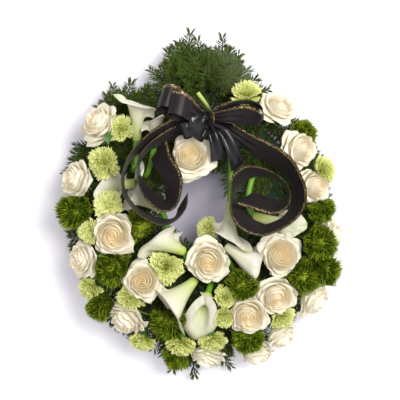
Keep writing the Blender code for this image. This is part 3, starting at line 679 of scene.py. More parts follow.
def add_blades(
    shape: Shape, foot: Array, way: Array, side: Array, length: Array, width: Array, tones: Array
) -> None:
    """Add slim closed blades, each with a ridge and a point at either end.

    Args:
        shape: The shape that they are added to.
        foot: Where each blade begins.
        way: The unit direction that it grows in.
        side: The unit direction across it.
        length: Its length, in metres.
        width: Its width at its widest, in metres.
        tones: One number from 0 to 1 for each blade, which its finish tints it by.
    """
    up = np.cross(side, way)
    long, wide = length[:, None], width[:, None]
    middle, half = foot + way * long * 0.45, side * wide / 2
    ridge_top, point = middle + up * wide * 0.35, foot + way * long
    corners = np.stack([foot, middle - half, middle + half, ridge_top, point], 1)
    faces = np.array([(0, 3, 1), (0, 2, 3), (0, 1, 2), (4, 1, 3), (4, 3, 2), (4, 2, 1)])
    numbers = faces[None] + (np.arange(len(foot)) * 5)[:, None, None]
    # The ridge mark is where the finish paints a highlight.
    height, across, ridge = vec(0, 0.45, 0.45, 0.45, 1), vec(0, -1, 1, 0, 0), vec(0, 0, 0, 1, 0)
    tone = tones[:, None]
    place = together(across, height, tone * 40).reshape(-1, 3)
    shade = together(height, tone, ridge).reshape(-1, 3)
    shape.add(corners.reshape(-1, 3), numbers.reshape(-1, 3), place, shade)


def add_tube(
    shape: Shape, line: Array, radii: Array | float, sides: int, slot: int = 0, tone: float = 0.5
) -> None:
    """Add a closed round tube along a line.

    Args:
        shape: The shape that it is added to.
        line: The points of its centre line, one row each.
        radii: Its radius, or its radius at each of them.
        sides: How many sides it has.
        slot: The number of the finish.
        tone: A number from 0 to 1 that its finish tints it by.
    """
    count = len(line)
    radii = np.broadcast_to(radii, count)
    way = unit(np.gradient(line, axis=0))
    side = np.empty_like(line)
    side[0] = unit(np.cross(way[0], vec(0, 0, 1) if abs(way[0][2]) < 0.9 else vec(1, 0, 0)))
    for k in range(1, count):
        side[k] = unit(side[k - 1] - way[k] * (side[k - 1] @ way[k]))
    up = np.cross(way, side)
    angle = np.arange(sides) * TURN / sides
    ring = side[:, None] * np.cos(angle)[None, :, None] + up[:, None] * np.sin(angle)[None, :, None]
    points = (line[:, None] + ring * radii[:, None, None]).reshape(-1, 3)
    grid = np.arange(count * sides).reshape(count, sides)
    ahead = np.roll(grid, -1, 1)
    quads = np.stack([grid[:-1], ahead[:-1], ahead[1:], grid[1:]], -1).reshape(-1, 4)
    share = np.repeat(np.linspace(0, 1, count), sides)
    place = together(np.tile(angle / TURN, count), share, tone * 40)
    shade = together(share, tone, 0.0)
    low = np.stack([np.full(sides, len(points)), ahead[0], grid[0]], -1)
    high = np.stack([np.full(sides, len(points) + 1), grid[-1], ahead[-1]], -1)
    points = np.concatenate([points, line[:1], line[-1:]])
    place, shade = (np.concatenate([part, part[:1], part[-1:]]) for part in (place, shade))
    caps = np.concatenate([low, high]) + shape.count
    shape.add(points, quads, place, shade, slot)
    shape.faces.append(caps)
    shape.slots.append(slot)


@dataclass(frozen=True)
class Bloom:
    """A round bloom: place in plan and diameter (mm), the way it faces (degrees), its lift over the dome."""

    node: str
    x: float
    y: float
    size: float
    azimuth: float
    elevation: float
    lift: float = 0.0

    @property
    def axis(self) -> Array:
        """The way that it faces."""
        return direction(self.azimuth, self.elevation)

    @property
    def radius(self) -> float:
        """The radius that it fills, in metres."""
        return 0.5 * FULLNESS * self.size * MM

    @property
    def centre(self) -> Array:
        """Its centre, on the dome that the blooms form."""
        x, y = self.x * MM, self.y * MM
        across = math.hypot(x, y) - RING_RADIUS
        reach = DOME_OUTWARDS if across > 0 else DOME_INWARDS
        rise = DOME_FOOT + DOME_RISE * math.sqrt(max(DOME_EDGE, 1 - (across / reach) ** 2))
        return vec(x, y, rise + self.lift * MM)

    @property
    def stem_top(self) -> Array:
        """Where its stem begins, inside its head."""
        return self.centre - self.axis * 0.22 * self.size * MM


@dataclass(frozen=True)
class Calla:
    """A calla: plan of its base and mouth, their heights, its width and where its stem comes from (mm).

    Its tip is turned from its upper side, in degrees, and its front lip and tip reach these shares of its
    length. The other shares say how soon it widens, how narrow its back is, how far its front rolls over, how
    long its spadix and drawn-out tip are, how strong the green lines along it are, how wide its front is, and
    how green its base is.
    """

    node: str
    base: tuple[float, float]
    mouth: tuple[float, float]
    base_z: float
    mouth_z: float
    width: float
    stem_from: tuple[float, float]
    stem_radius: float
    tip_turn: float
    front: float
    back: float
    full: float = 0.42
    broad: float = 1.4
    roll: float = 0.0
    spadix: float = 0.72
    tip: float = 0.12
    lines: float = 0.0
    slim: float = 0.84
    fresh: float = 0.98

    @property
    def ends(self) -> tuple[Array, Array]:
        """Its base and the middle of its mouth, in metres."""
        return vec(*self.base, self.base_z) * MM, vec(*self.mouth, self.mouth_z) * MM

    @property
    def entry(self) -> Array:
        """Where its stem comes down to the foam."""
        return vec(self.stem_from[0] * MM, self.stem_from[1] * MM, FOAM_TOP + STEM_BEND_HEIGHT)


ROSES = (
    Bloom("rose_01", 133, 166, 60, 60, 45),
    Bloom("rose_02", 170, 97, 66, -10, 50, -1),
    Bloom("rose_03", 196, 33, 62, -20, 56, -5),
    Bloom("rose_04", 226, -54, 60, 0, 20, -14),
    Bloom("rose_05", 137, -86, 74, 30, 78, -4),
    Bloom("rose_06", 132, -155, 70, -75, 68),
    Bloom("rose_07", 83, -188, 72, -90, 76),
    Bloom("rose_08", 198, -163, 60, -35, 20),
    Bloom("rose_09", 142, -227, 56, -50, 20),
    Bloom("rose_10", 100, -257, 60, -78, 14, -7),
    Bloom("rose_11", 12, -263, 54, -95, 14),
    Bloom("rose_12", 14, -94, 72, -90, 80, 8),
    Bloom("rose_13", -98, -131, 68, 90, 82),
    Bloom("rose_14", -126, -194, 68, -125, 24),
    Bloom("rose_15", -201, -94, 60, 180, 42),
    Bloom("rose_16", -148, -48, 76, -90, 80, 2),
    Bloom("rose_17", -212, 44, 62, 165, 38),
    Bloom("rose_18", -172, 140, 68, 140, 40),
    Bloom("rose_19", -17, 82, 74, 80, 76, 10),
)
CARNATIONS = (
    Bloom("carnation_01", -135, 130, 46, 120, 62),
    Bloom("carnation_02", -164, 72, 56, 170, 62),
    Bloom("carnation_03", -155, 2, 54, 160, 66),
    Bloom("carnation_03", -189, -44, 44, 190, 50),
    Bloom("carnation_04", -57, -104, 62, 90, 80),
    Bloom("carnation_05", -187, -143, 46, 215, 36),
    Bloom("carnation_06", -120, -160, 44, -120, 55),
    Bloom("carnation_07", -100, -233, 46, -110, 24),
    Bloom("carnation_08", -33, -240, 52, -95, 30),
    Bloom("carnation_08", 22, -232, 48, -80, 34),
    Bloom("carnation_09", 42, -158, 42, 20, 66),
    Bloom("carnation_09", 42, -190, 42, -60, 50),
    Bloom("carnation_10", 140, -194, 44, -60, 46),
    Bloom("carnation_11", 80, 190, 50, 90, 44),
    Bloom("carnation_12", 212, 60, 46, 15, 40),
    Bloom("carnation_13", 14, -40, 38, 150, 56),
)
DIANTHUS = (
    Bloom("dianthus_01", -212, -10, 64, 180, 42),
    Bloom("dianthus_02", -99, -38, 62, 90, 72),
    Bloom("dianthus_03", -150, -106, 64, 210, 66),
    Bloom("dianthus_03", -168, -171, 56, 220, 32),
    Bloom("dianthus_04", -52, -198, 66, -100, 62),
    Bloom("dianthus_05", 71, -138, 62, -60, 80),
    Bloom("dianthus_06", 203, -64, 62, -10, 48, 4),
    Bloom("dianthus_06", 174, -121, 66, -30, 64),
    Bloom("dianthus_06", 211, -112, 60, -25, 34),
    Bloom("dianthus_07", 84, -229, 54, -90, 40),
    Bloom("dianthus_08", 207, -8, 46, 0, 42),
    Bloom("dianthus_09", 177, 123, 44, 40, 34, -8),
    Bloom("dianthus_10", -40, -262, 46, -100, 12),
)
CALLAS = (
    Calla(
        "calla_01", (-110, 112), (-108, 186), 82, 98, 60, (-116, 60), 5.5, -80, 0.86, 1.06,
        tip=0.04, lines=0.1,
    ),
    Calla("calla_01", (-78, 104), (-74, 162), 88, 100, 44, (-96, 52), 5.0, 70, 0.72, 1.10),
    Calla("calla_02", (-112, 38), (-170, 30), 92, 92, 46, (-112, 40), 5.5, -25, 0.50, 1.20),
    Calla("calla_02", (-66, -8), (-118, 28), 90, 98, 70, (-72, -88), 5.0, 110, 1.0, 1.2, 0.6),
    Calla("calla_03", (-26, -80), (-84, -56), 100, 110, 60, (-30, -112), 5.5, -45, 0.55, 1.20, 0.55, 1.0),
    Calla("calla_04", (52, 6), (50, -66), 98, 104, 56, (52, 124), 5.0, -60, 0.80, 1.15),
    Calla(
        "calla_04", (44, -70), (99, -106), 94, 100, 58, (60, -112), 5.0, 15, 0.66, 1.16, 0.72, 0.8,
        fresh=0.3,
    ),
    Calla("calla_05", (-8, -128), (-49, -170), 94, 108, 68, (-4, -130), 5.5, -75, 1.10, 1.36, 0.8, 0.9),
    Calla(
        "calla_06", (14, -150), (-4, -212), 98, 106, 60, (20, -134), 5.5, 175, 0.40, 1.28,
        full=0.50, broad=0.9, roll=0.20, spadix=0.25, tip=0.08, lines=0.3, slim=0.55,
    ),
    Calla("calla_07", (92, -18), (168, -40), 88, 92, 50, (100, 66), 5.0, -15, 0.64, 1.18, lines=0.55),
)
# A head that a ribbon passes on its left stays this far to its right (mm)
BESIDE_RIBBON = {"rose_19": 49}
# Heads that a ribbon passes over stay below its lower edge (mm)
UNDER_RIBBON = {"calla_02": 112, "calla_07": 106, "calla_04": 122, "dianthus_02": 108, "carnation_03": 118}


@dataclass
class Head:
    """A bloom in place: its centre line from low to high, and how far it reaches."""

    node: str
    low: Array
    high: Array
    reach: float

    @property
    def firmness(self) -> float:
        """How far it holds its own against a neighbour, in metres."""
        return FIRMNESS.get(self.node.split("_")[0], 0.0)

    def closest(self, other: "Head") -> tuple[float, Array, Array]:
        """The closest points of this centre line and the other.

        Args:
            other: The other head.

        Returns:
            Their distance, this line's point and the other's.
        """
        mine = self.low + (self.high - self.low) * shares(9)
        theirs = other.low + (other.high - other.low) * shares(9)
        gaps = np.linalg.norm(mine[:, None] - theirs[None], axis=-1)
        i, j = np.unravel_index(gaps.argmin(), gaps.shape)
        return float(gaps[i, j]), mine[i], theirs[j]

    def limits(self) -> list[tuple[Array, float]]:
        """The planes of the fir below and of a ribbon beside or above."""
        found = [(vec(0, 0, -1), -FLOWER_FLOOR)]
        if self.node in BESIDE_RIBBON:
            found.append((vec(-1, 0, 0), BESIDE_RIBBON[self.node] * MM))
        if self.node in UNDER_RIBBON:
            found.append((vec(0, 0, 1), UNDER_RIBBON[self.node] * MM))
        return found

    def planes(self, heads: Sequence["Head"]) -> list[tuple[Array, float]]:
        """The planes that keep this head clear of its neighbours.

        Args:
            heads: Every head of the wreath.

        Returns:
            Each plane's outward normal and its distance from the origin.
        """
        found = self.limits()
        for other in heads:
            alike = other.node == self.node and not np.array_equal(self.low, self.high)
            if np.array_equal(other.low, self.low) or alike:
                continue
            gap, mine, theirs = self.closest(other)
            if gap > NEIGHBOUR_REACH * (self.reach + other.reach):
                continue
            normal = unit(theirs - mine)
            share = self.reach / (self.reach + other.reach)
            give = 0.5 * (self.firmness - other.firmness)
            found.append((normal, float(mine @ normal) + gap * share + PRESS_OVERLAP + give))
        return found


def pressed(
    planes: Sequence[tuple[Array, float]], softness: float = PRESS_SOFTNESS
) -> Callable[[Array], Array]:
    """What pushes points softly back behind planes.

    Args:
        planes: Each plane's outward normal and its distance from the origin.
        softness: How far before the plane the push begins.

    Returns:
        The change, to be given points.
    """

    def change(points: Array) -> Array:
        """The points, pushed back."""
        moved = points.copy()
        slow = np.sin(points[:, [1, 2, 0]] * 230 + vec(0, 2, 4))
        sway = (slow + 0.7 * np.sin(points[:, [2, 0, 1]] * 510 + 1.0)) * PRESS_SWAY
        for _ in range(3):
            for normal, offset in planes:
                beyond = np.maximum((moved + sway) @ normal - offset + softness, 0)
                kept = softness * (1 - np.exp(-beyond / softness))
                moved += (kept - beyond)[:, None] * normal
        return moved

    return change


class Planting:
    """Where every head and every stem's foot is."""

    def __init__(self) -> None:
        """Work out the heads and the feet, as the source of the model does."""
        blooms = ROSES + CARNATIONS + DIANTHUS
        self.order = blooms + CALLAS
        self.heads = [Head(b.node, b.centre, b.centre, 0.5 * b.size * MM) for b in blooms]
        for calla in CALLAS:
            base, mouth = calla.ends
            self.heads.append(Head(calla.node, base + (mouth - base) * 0.25, mouth, 0.42 * calla.width * MM))
        self.rooted = [next(group) for _, group in groupby(blooms, attrgetter("node"))]
        plans = [(bloom.x, bloom.y) for bloom in self.rooted] + [calla.stem_from for calla in CALLAS]
        angles = [math.degrees(math.atan2(y, x)) % 360 for x, y in plans]
        self.feet = [on_ring(angle) for angle in self.spread(angles)]

    @staticmethod
    def spread(angles: list[float]) -> list[float]:
        """The angles, in degrees, moved apart until neighbours have room for their stems.

        Args:
            angles: The angles.

        Returns:
            The angles moved apart, in the order that they came in.
        """
        order = sorted(range(len(angles)), key=lambda k: angles[k])
        places = [angles[k] for k in order]
        count = len(places)
        for _ in range(400):
            for k in range(count):
                n = (k + 1) % count
                short = STEM_SPACING_DEG - (places[n] + (360 if n == 0 else 0) - places[k])
                if short > 0:
                    places[k] -= short / 2
                    places[n] += short / 2
        found = [0.0] * count
        for k, place in zip(order, places):
            found[k] = place
        return found

    def stem(self, bloom: Bloom) -> tuple[Array, Array]:
        """Where a bloom's stem ends below and above.

        Args:
            bloom: The bloom.

        Returns:
            The stem's foot, or its fork for a group's other blooms, and its top.
        """
        number = next(k for k, rooted in enumerate(self.rooted) if rooted.node == bloom.node)
        foot, first = self.feet[number], self.rooted[number]
        if bloom != first:
            foot = foot + (first.stem_top - foot) * FORK_SHARE
        return foot, bloom.stem_top


@dataclass
class Flower(ABC):
    """Flowers of one kind. Those that share a stem share a node and a piece."""

    planting: Planting
    suffix: str = ""
    slot: str = ""
    finishes: tuple[Finish, ...] = ()

    @abstractmethod
    def add(self, shape: Shape, entry: Bloom | Calla, number: int) -> None:
        """Add one flower in its place.

        Args:
            shape: The shape that it is added to.
            entry: Where it stands.
            number: Its number among all heads, which seeds its random numbers.
        """

    def build(self, entries: Sequence[Bloom | Calla]) -> None:
        """Build every flower of this kind, one piece for each node."""
        for node, group in groupby(entries, attrgetter("node")):
            shape = Shape()
            for entry in group:
                self.add(shape, entry, self.planting.order.index(entry))
            shape.piece(f"{node}_{self.suffix}", self.finishes, self.slot, node)


@dataclass
class RoundFlower(Flower):
    """A flower whose head is made facing +Z, turned into place and pressed back from its neighbours."""

    seed: int = 0
    turn: float = 0.7
    stem_radius: float = 2.0 * MM
    stem_sides: int = 7

    @abstractmethod
    def head(self, shape: Shape, radius: float, draw: np.random.Generator) -> None:
        """Add the head, facing +Z.

        Args:
            shape: The shape that it is added to.
            radius: The head's radius, in metres.
            draw: The head's own random numbers.
        """

    def add(self, shape: Shape, entry: Bloom, number: int) -> None:
        """Add one head on its stem."""
        head = Shape()
        self.head(head, entry.radius, np.random.default_rng(self.seed + number))
        turn = basis(entry.axis, self.turn * number)
        head.move(lambda points: points @ turn.T + entry.centre)
        heads = self.planting.heads
        head.move(pressed(heads[number].planes(heads)))
        add_tube(head, np.linspace(*self.planting.stem(entry), 5), self.stem_radius, self.stem_sides, 1)
        shape.take(head)


@dataclass(frozen=True)
class PetalLayer:
    """One whorl of a rose: its petals, and their profile from base to rim as shares of the bloom's radius."""

    count: int
    wrap: float
    knee: tuple[float, float]
    shoulder: tuple[float, float]
    rim: tuple[float, float]
    lap: float
    roll: float
    ruffle: float


@dataclass
class Rose(RoundFlower):
    """An open rose: a tight heart of wrapped petals in whorls that roll back more towards the outside."""

    suffix: str = "bloom"
    slot: str = "rose_ivory"
    finishes: tuple[Finish, ...] = (Finish.ROSE, Finish.STEM)
    seed: int = 100
    stem_radius: float = 2.8 * MM
    stem_sides: int = 8
    rows: int = 9
    columns: int = 11
    thickness: float = 0.7 * MM
    base: tuple[float, float] = (0.08, -0.58)
    layers: tuple[PetalLayer, ...] = (
        PetalLayer(2, 100, (0.08, -0.30), (0.10, 0.30), (0.05, 0.52), 0.36, 0.0, 0.004),
        PetalLayer(3, 84, (0.17, -0.36), (0.21, 0.26), (0.150, 0.56), 0.26, 0.0, 0.010),
        PetalLayer(3, 84, (0.29, -0.42), (0.33, 0.26), (0.275, 0.57), 0.20, 0.01, 0.014),
        PetalLayer(4, 64, (0.40, -0.46), (0.45, 0.24), (0.405, 0.53), 0.17, 0.03, 0.018),
        PetalLayer(5, 54, (0.50, -0.50), (0.54, 0.26), (0.545, 0.46), 0.13, 0.07, 0.024),
        PetalLayer(5, 50, (0.60, -0.50), (0.54, 0.36), (0.760, 0.30), 0.08, 0.14, 0.030),
        PetalLayer(5, 50, (0.70, -0.52), (0.60, 0.32), (0.990, 0.07), 0.06, 0.18, 0.036),
        PetalLayer(4, 52, (0.74, -0.54), (0.72, 0.14), (1.030, -0.18), 0.05, 0.16, 0.040),
    )

    def head(self, shape: Shape, radius: float, draw: np.random.Generator) -> None:
        """Add every petal, then the calyx."""
        v, u = petal_grid(self.rows, self.columns)
        v = v**0.62
        phase = draw.uniform(0, TURN)
        for number, layer in enumerate(self.layers):
            outer = number / (len(self.layers) - 1)
            count = layer.count
            order = np.arange(count)[:, None, None]
            phase += TURN * 0.382
            middle = phase + (order + 0.12 * each(draw, count)) * TURN / count
            tip = 0.06 * outer * np.exp(-((u / 0.20) ** 2))
            reach = v * (1 - (0.10 + 0.22 * outer) * np.abs(u) ** 2.6 + tip * v)
            grow = 1 + (0.03 + 0.07 * outer) * each(draw, count)
            r, z = (bezier(*ends, reach) for ends in zip(self.base, layer.knee, layer.shoulder, layer.rim))
            wave = np.sin(u * (4 + 3 * outer) + each(draw, count, 0, TURN))
            wave = wave + 0.5 * np.sin(u * 11 + each(draw, count, 0, TURN))
            r = r * grow * (1 + layer.lap * u * v) + layer.ruffle * wave * v**3
            z = z * grow - layer.roll * u**2 * v**2 + layer.ruffle * 1.6 * wave * v**4
            z = z + (0.02 + 0.05 * outer) * each(draw, count) * v
            angle = middle + np.radians(layer.wrap) * u * (0.45 + 0.55 * np.sqrt(v))
            front = together(r * np.cos(angle), r * np.sin(angle), z) * radius
            # The heart's petals are warmer towards their feet, which also tints the painted glow there.
            heart = max(0.0, 1.10 - 1.6 * outer)
            warm = heart * (0.03 + np.clip((0.91 - v) / 0.15, 0, 1)) + 0.02
            green = 0.75 * outer**2 * ((1 - v) ** 1.6 + 0.8 * v**5 * (0.3 + np.abs(u) ** 1.5))
            # Darker towards each petal's foot, deep in the bloom: painted shade.
            deep = np.clip((0.84 - v) / 0.3, 0, 1)
            place = together(u, v, number * 10 + order * 1.7)
            add_sheets(shape, front, self.thickness, place, together(warm, green, deep))
        self.calyx(shape, radius, draw)

    @staticmethod
    def calyx(shape: Shape, radius: float, draw: np.random.Generator, sepals: int = 5) -> None:
        """Add the green cup below the petals and its sepals."""
        cup = upright(np.linspace(-0.80, -0.40, 6)) * radius
        add_tube(shape, cup, vec(0.07, 0.13, 0.16, 0.17, 0.20, 0.16) * radius, 10, 1)
        v, u = petal_grid(6, 5)
        middle = (np.arange(sepals)[:, None, None] + 0.2 * each(draw, sepals)) * TURN / sepals
        r = bezier(0.15, 0.30, 0.62, 0.85, v)
        z = bezier(-0.52, -0.50, -0.52, -0.62, v) - 0.03 * u**2
        angle = middle + u * 0.34 * (1 - v) ** 0.7 * (1 - v * 0.4)
        front = together(r * np.cos(angle), r * np.sin(angle), z) * radius
        add_sheets(shape, front, 0.6 * MM, together(u, v, middle), vec(0.5, 0.5, 0), 1)


@dataclass
class Carnation(RoundFlower):
    """A carnation's head: a dome of fan-shaped petals with serrated, ruffled rims."""

    suffix: str = "head"
    slot: str = "carnation_lime"
    finishes: tuple[Finish, ...] = (Finish.CARNATION, Finish.STEM)
    seed: int = 300
    rows: int = 4
    columns: int = 17
    petals: int = 60
    thickness: float = 0.4 * MM

    def head(self, shape: Shape, radius: float, draw: np.random.Generator) -> None:
        """Add the petals, from the heart outwards, and the calyx."""
        count = self.petals
        v, u = petal_grid(self.rows, self.columns)
        number = np.arange(count)[:, None, None]
        middle = number * GOLDEN_ANGLE + each(draw, count, -0.5, 0.5)
        lie = (number / (count - 1)) ** 0.6 * each(draw, count, 0.86, 1.10)
        rim_r = 0.06 + 0.94 * lie
        rim_z = 0.62 - 0.66 * lie**2.2 + each(draw, count, -0.05, 0.05)
        reach = v * (1 - 0.14 * np.abs(u) ** 2)
        r = bezier(0.06, 0.12, rim_r * 0.75, rim_r, reach)
        z = bezier(-0.45, 0.10 - 0.3 * lie, rim_z * 0.9 + 0.02, rim_z, reach)
        spin = each(draw, count, 0, TURN)
        ruffle = (0.13 * np.sin(u * 8.5 + spin) + 0.09 * np.sin(u * 16 + 2.3 * spin)) * v**1.6
        teeth = 0.06 * np.where(np.arange(self.columns) % 2, 1, -1)[None, None, :] * v**6
        tangent = u * (0.29 + 0.09 * (1 - lie)) * v**0.8
        twist = each(draw, count, -1.4, 1.4) * (1 - 0.5 * lie)
        out = r + ruffle * (1 - lie * 0.5) + teeth * lie + twist * tangent * 0.5
        up = z + ruffle * lie * 0.9 + teeth * (1 - lie)
        ca, sa = np.cos(middle), np.sin(middle)
        front = together(out * ca - tangent * sa, out * sa + tangent * ca, up) * radius
        # warm and deep darken each petal towards its foot and in the troughs of its ruffles: the darker green
        # at the foot is partly the petal's own, the rest is painted shade.
        low = np.clip(-ruffle / 0.12, 0, 1)
        warm = np.clip((1 - v) ** 0.5 * 1.1 + 0.35 * low, 0, 1)
        green = 0.10 * each(draw, count, 0) + 0.25 * (1 - v)
        deep = np.clip((1 - v) ** 1.1 * 1.3 + 0.45 * low, 0, 1)
        add_sheets(shape, front, self.thickness, together(u, v, middle), together(warm, green, deep))
        calyx = upright(np.linspace(-1.0, -0.1, 6)) * radius
        add_tube(shape, calyx, vec(0.06, 0.14, 0.19, 0.24, 0.34, 0.30) * radius, 10, 1)


@dataclass
class DianthusBall(RoundFlower):
    """A green dianthus ball: a core under a thick coat of fine filaments."""

    suffix: str = "ball"
    slot: str = "dianthus_green"
    finishes: tuple[Finish, ...] = (Finish.DIANTHUS, Finish.STEM)
    seed: int = 500
    filaments: int = 1150
    core: float = 0.56
    width: float = 2.4 * MM

    def head(self, shape: Shape, radius: float, draw: np.random.Generator) -> None:
        """Add the filaments and the core that they stand on."""
        count = self.filaments
        k = np.arange(count) + 0.5
        height = 1 - 1.45 * k / count
        ring = np.sqrt(1 - height**2)
        out = together(ring * np.cos(k * GOLDEN_ANGLE), ring * np.sin(k * GOLDEN_ANGLE), height)
        tufts = np.sin(out @ vec(9, 5, 3)) + np.sin(out @ vec(-4, 8, 6) + 1.3)
        tufts = tufts + np.sin(out @ vec(3, -7, 9) + 2.1)
        swirl = together(np.sin(out[:, 1] * 7), np.sin(out[:, 2] * 6 + 1), np.sin(out[:, 0] * 7 + 2))
        way = unit(out + 0.34 * swirl + 0.16 * draw.normal(size=(count, 3)))
        side = unit(np.cross(way, draw.normal(size=(count, 3))))
        length = radius * (1 - self.core) * (1.15 + 0.34 * tufts / 3 + draw.uniform(-0.2, 0.16, count))
        # Some filaments are darker at random, and more of them where the tufts dip: random tone, and painted
        # shade between the tufts.
        tones = np.clip(draw.uniform(-0.5, 1.3, count) - 0.25 * tufts, 0, 1)
        width = self.width * draw.uniform(0.7, 1.15, count)
        add_blades(shape, out * radius * self.core * 0.96, way, side, length, width, tones)
        arc = np.linspace(0.12, 3.02, 9)
        line = upright(-np.cos(arc)) * radius * self.core
        add_tube(shape, line, np.sin(arc) * radius * self.core, 18, 0, 0.0)


@dataclass
class CallaLily(Flower):
    """A calla: a rolled spathe with a flared rim and a drawn-out tip, its spadix and its thick stem."""

    suffix: str = "lily"
    slot: str = "calla_white"
    finishes: tuple[Finish, ...] = (Finish.CALLA, Finish.CALLA_STEM, Finish.SPADIX)
    seed: int = 900
    rows: int = 24
    columns: int = 45
    thickness: float = 1.3 * MM
    lap: float = 0.6
    spadix: Sequence[float] = (0.75, 0.72, 0.7, 0.68, 0.64, 0.60, 0.54, 0.44, 0.2)

    def spathe(
        self, shape: Shape, calla: Calla, length: float, turn: float, draw: np.random.Generator
    ) -> None:
        """Add the spathe, opening along +Z from its base.

        Args:
            shape: The shape that it is added to.
            calla: Where it stands and how wide it is.
            length: From its base to its mouth, in metres.
            turn: The way its tip points, in radians round its axis.
            draw: The calla's own random numbers.
        """
        wide = calla.width * MM
        throat = (calla.stem_radius + 0.9) * MM
        v, u = petal_grid(self.rows, self.columns)
        a = u * (math.pi + self.lap)
        back = np.where(np.abs(a) > math.pi, 0.0, (1 + np.cos(a)) / 2)
        over = np.maximum(np.abs(a) - math.pi, 0) / self.lap
        point = np.exp(-((a / 0.40) ** 2))
        lip_line = calla.front + (calla.back - calla.front) * back**calla.broad
        rise = length * (lip_line - 0.22 * over + 0.10 * point)
        flare = 0.5 * wide * (calla.slim + (1.04 - calla.slim) * back**2)
        r = bezier(throat, throat * (0.7 + calla.full), flare * calla.full, flare, v)
        z = bezier(0.0, rise * 0.42, rise * 0.86, rise, v)
        lip = np.clip((v - 0.70) / 0.30, 0, 1)
        sway = np.sin(2 * a + draw.uniform(0, TURN)) + 0.6 * np.sin(5 * a + draw.uniform(0, TURN))
        r = r + lip**2 * wide * (0.14 + calla.tip * point + 0.018 * sway)
        rolled = calla.roll * (1 - back) ** 1.5 * (1 - over)
        z = z - lip**2.4 * length * (0.12 - 0.03 * point + rolled) + lip**2 * length * 0.016 * sway
        r = r * (1 + 0.06 * a / math.pi * (0.3 + 0.7 * v))
        angle = a + turn + 0.10 * v**2
        front = together(r * np.cos(angle), r * np.sin(angle), z)
        crease = np.exp(-((a / 0.14) ** 2))
        green = calla.fresh * (1 - v) ** 1.7 + 0.5 * point * v**8 + 0.25 * crease * (1 - v) + 0.12 * lip**6
        green = green + calla.lines * np.clip(np.cos(13 * a + 2 * v), 0, 1) ** 4 * (0.4 + 0.6 * v)
        place, shade = together(a * 1.5, v * 2.0, wide * 900), together(0.12, green, 0.0)
        add_sheets(shape, front[:, ::-1], self.thickness, place[:, ::-1], shade[:, ::-1])

    def add(self, shape: Shape, entry: Calla, number: int) -> None:
        """Add one calla with its spadix and stem."""
        base, mouth = entry.ends
        length = float(np.linalg.norm(mouth - base))
        axis = unit(mouth - base)
        rotation = basis(axis)
        above = rotation.T @ vec(0, 0, 1)
        turn = math.atan2(above[1], above[0]) + math.radians(entry.tip_turn)
        head = Shape()
        self.spathe(head, entry, length, turn, np.random.default_rng(self.seed + number))
        radius = entry.stem_radius * MM
        spadix = upright(np.linspace(0, 1, 9) * entry.spadix * length)
        add_tube(head, spadix, radius * vec(*self.spadix), 9, 2)
        head.move(lambda points: points @ rotation.T + base)
        head.move(pressed(self.planting.heads[number].limits(), 4 * MM))
        foot = self.planting.feet[len(self.planting.rooted) + CALLAS.index(entry)]
        rise = unit(entry.entry - foot)
        bend = 0.4 * float(np.linalg.norm(entry.entry - base))
        start = base + axis * 8 * MM
        line = bezier(start, start - axis * bend, entry.entry + rise * 0.4 * bend, entry.entry, shares(15))
        add_tube(head, np.concatenate([line, foot[None]]), radius, 14, 1)
        shape.take(head)


@dataclass(frozen=True)
class Branch:
    """A fir branch: its foot's angle, the side of the foam that it leaves by, and its twigs' tips (mm)."""

    node: str
    foot: float
    side: int
    tips: tuple[tuple[float, float, float], ...]


BRANCHES = (
    Branch(
        "fir_top_left", 100, 1,
        ((-17, 300, 62), (-56, 268, 50), (-86, 236, 40), (14, 256, 74), (-50, 222, 76)),
    ),
    Branch(
        "fir_top_right", 78, 1,
        ((39, 292, 60), (70, 250, 50), (98, 222, 40), (118, 204, 32), (22, 226, 80)),
    ),
    Branch(
        "fir_left", 143, 1,
        ((-153, 208, 48), (-122, 216, 38), (-90, 206, 54), (-208, 98, 27), (-236, 58, 27)),
    ),
    Branch(
        "fir_bottom", -96, 1,
        ((-84, -240, 26), (-48, -290, 26), (-10, -300, 24), (52, -284, 26), (84, -250, 25)),
    ),
    Branch("fir_inner", 52, -1, ((40, 62, 44), (48, 22, 46), (24, 84, 42))),
)
# Tips of the twigs that thicken the fan over the wreath's top (mm)
FAN_TIPS = (
    (-36, 282, 56), (-4, 284, 68), (-50, 250, 62), (-72, 224, 46), (-32, 240, 84), (0, 258, 80),
    (20, 238, 88), (28, 264, 72), (52, 270, 56), (58, 232, 64), (80, 214, 50), (-20, 216, 90),
    (10, 214, 92), (44, 208, 74), (-60, 206, 58), (84, 236, 44), (68, 262, 48),
)
# The curves of the pale cut stem behind the knot, and of a rose's leaf and its stalk (mm)
CUT_STEM = ((-4, 189, 139), (4, 178, 137), (14, 168, 132), (18, 160, 54))
LEAF = ((-151, 128, 96), (-154, 124, 112), (-158, 116, 120), (-156, 102, 116))
LEAF_STALK = ((-151, 128, 96), (-153, 132, 84), (-155, 136, 74), (-156, 138, 64))


def curve(ends: Stops, count: int) -> Array:
    """Points in metres along the cubic curve with these ends and handles, in millimetres."""
    return bezier(*(vec(*point) for point in ends), shares(count)) * MM


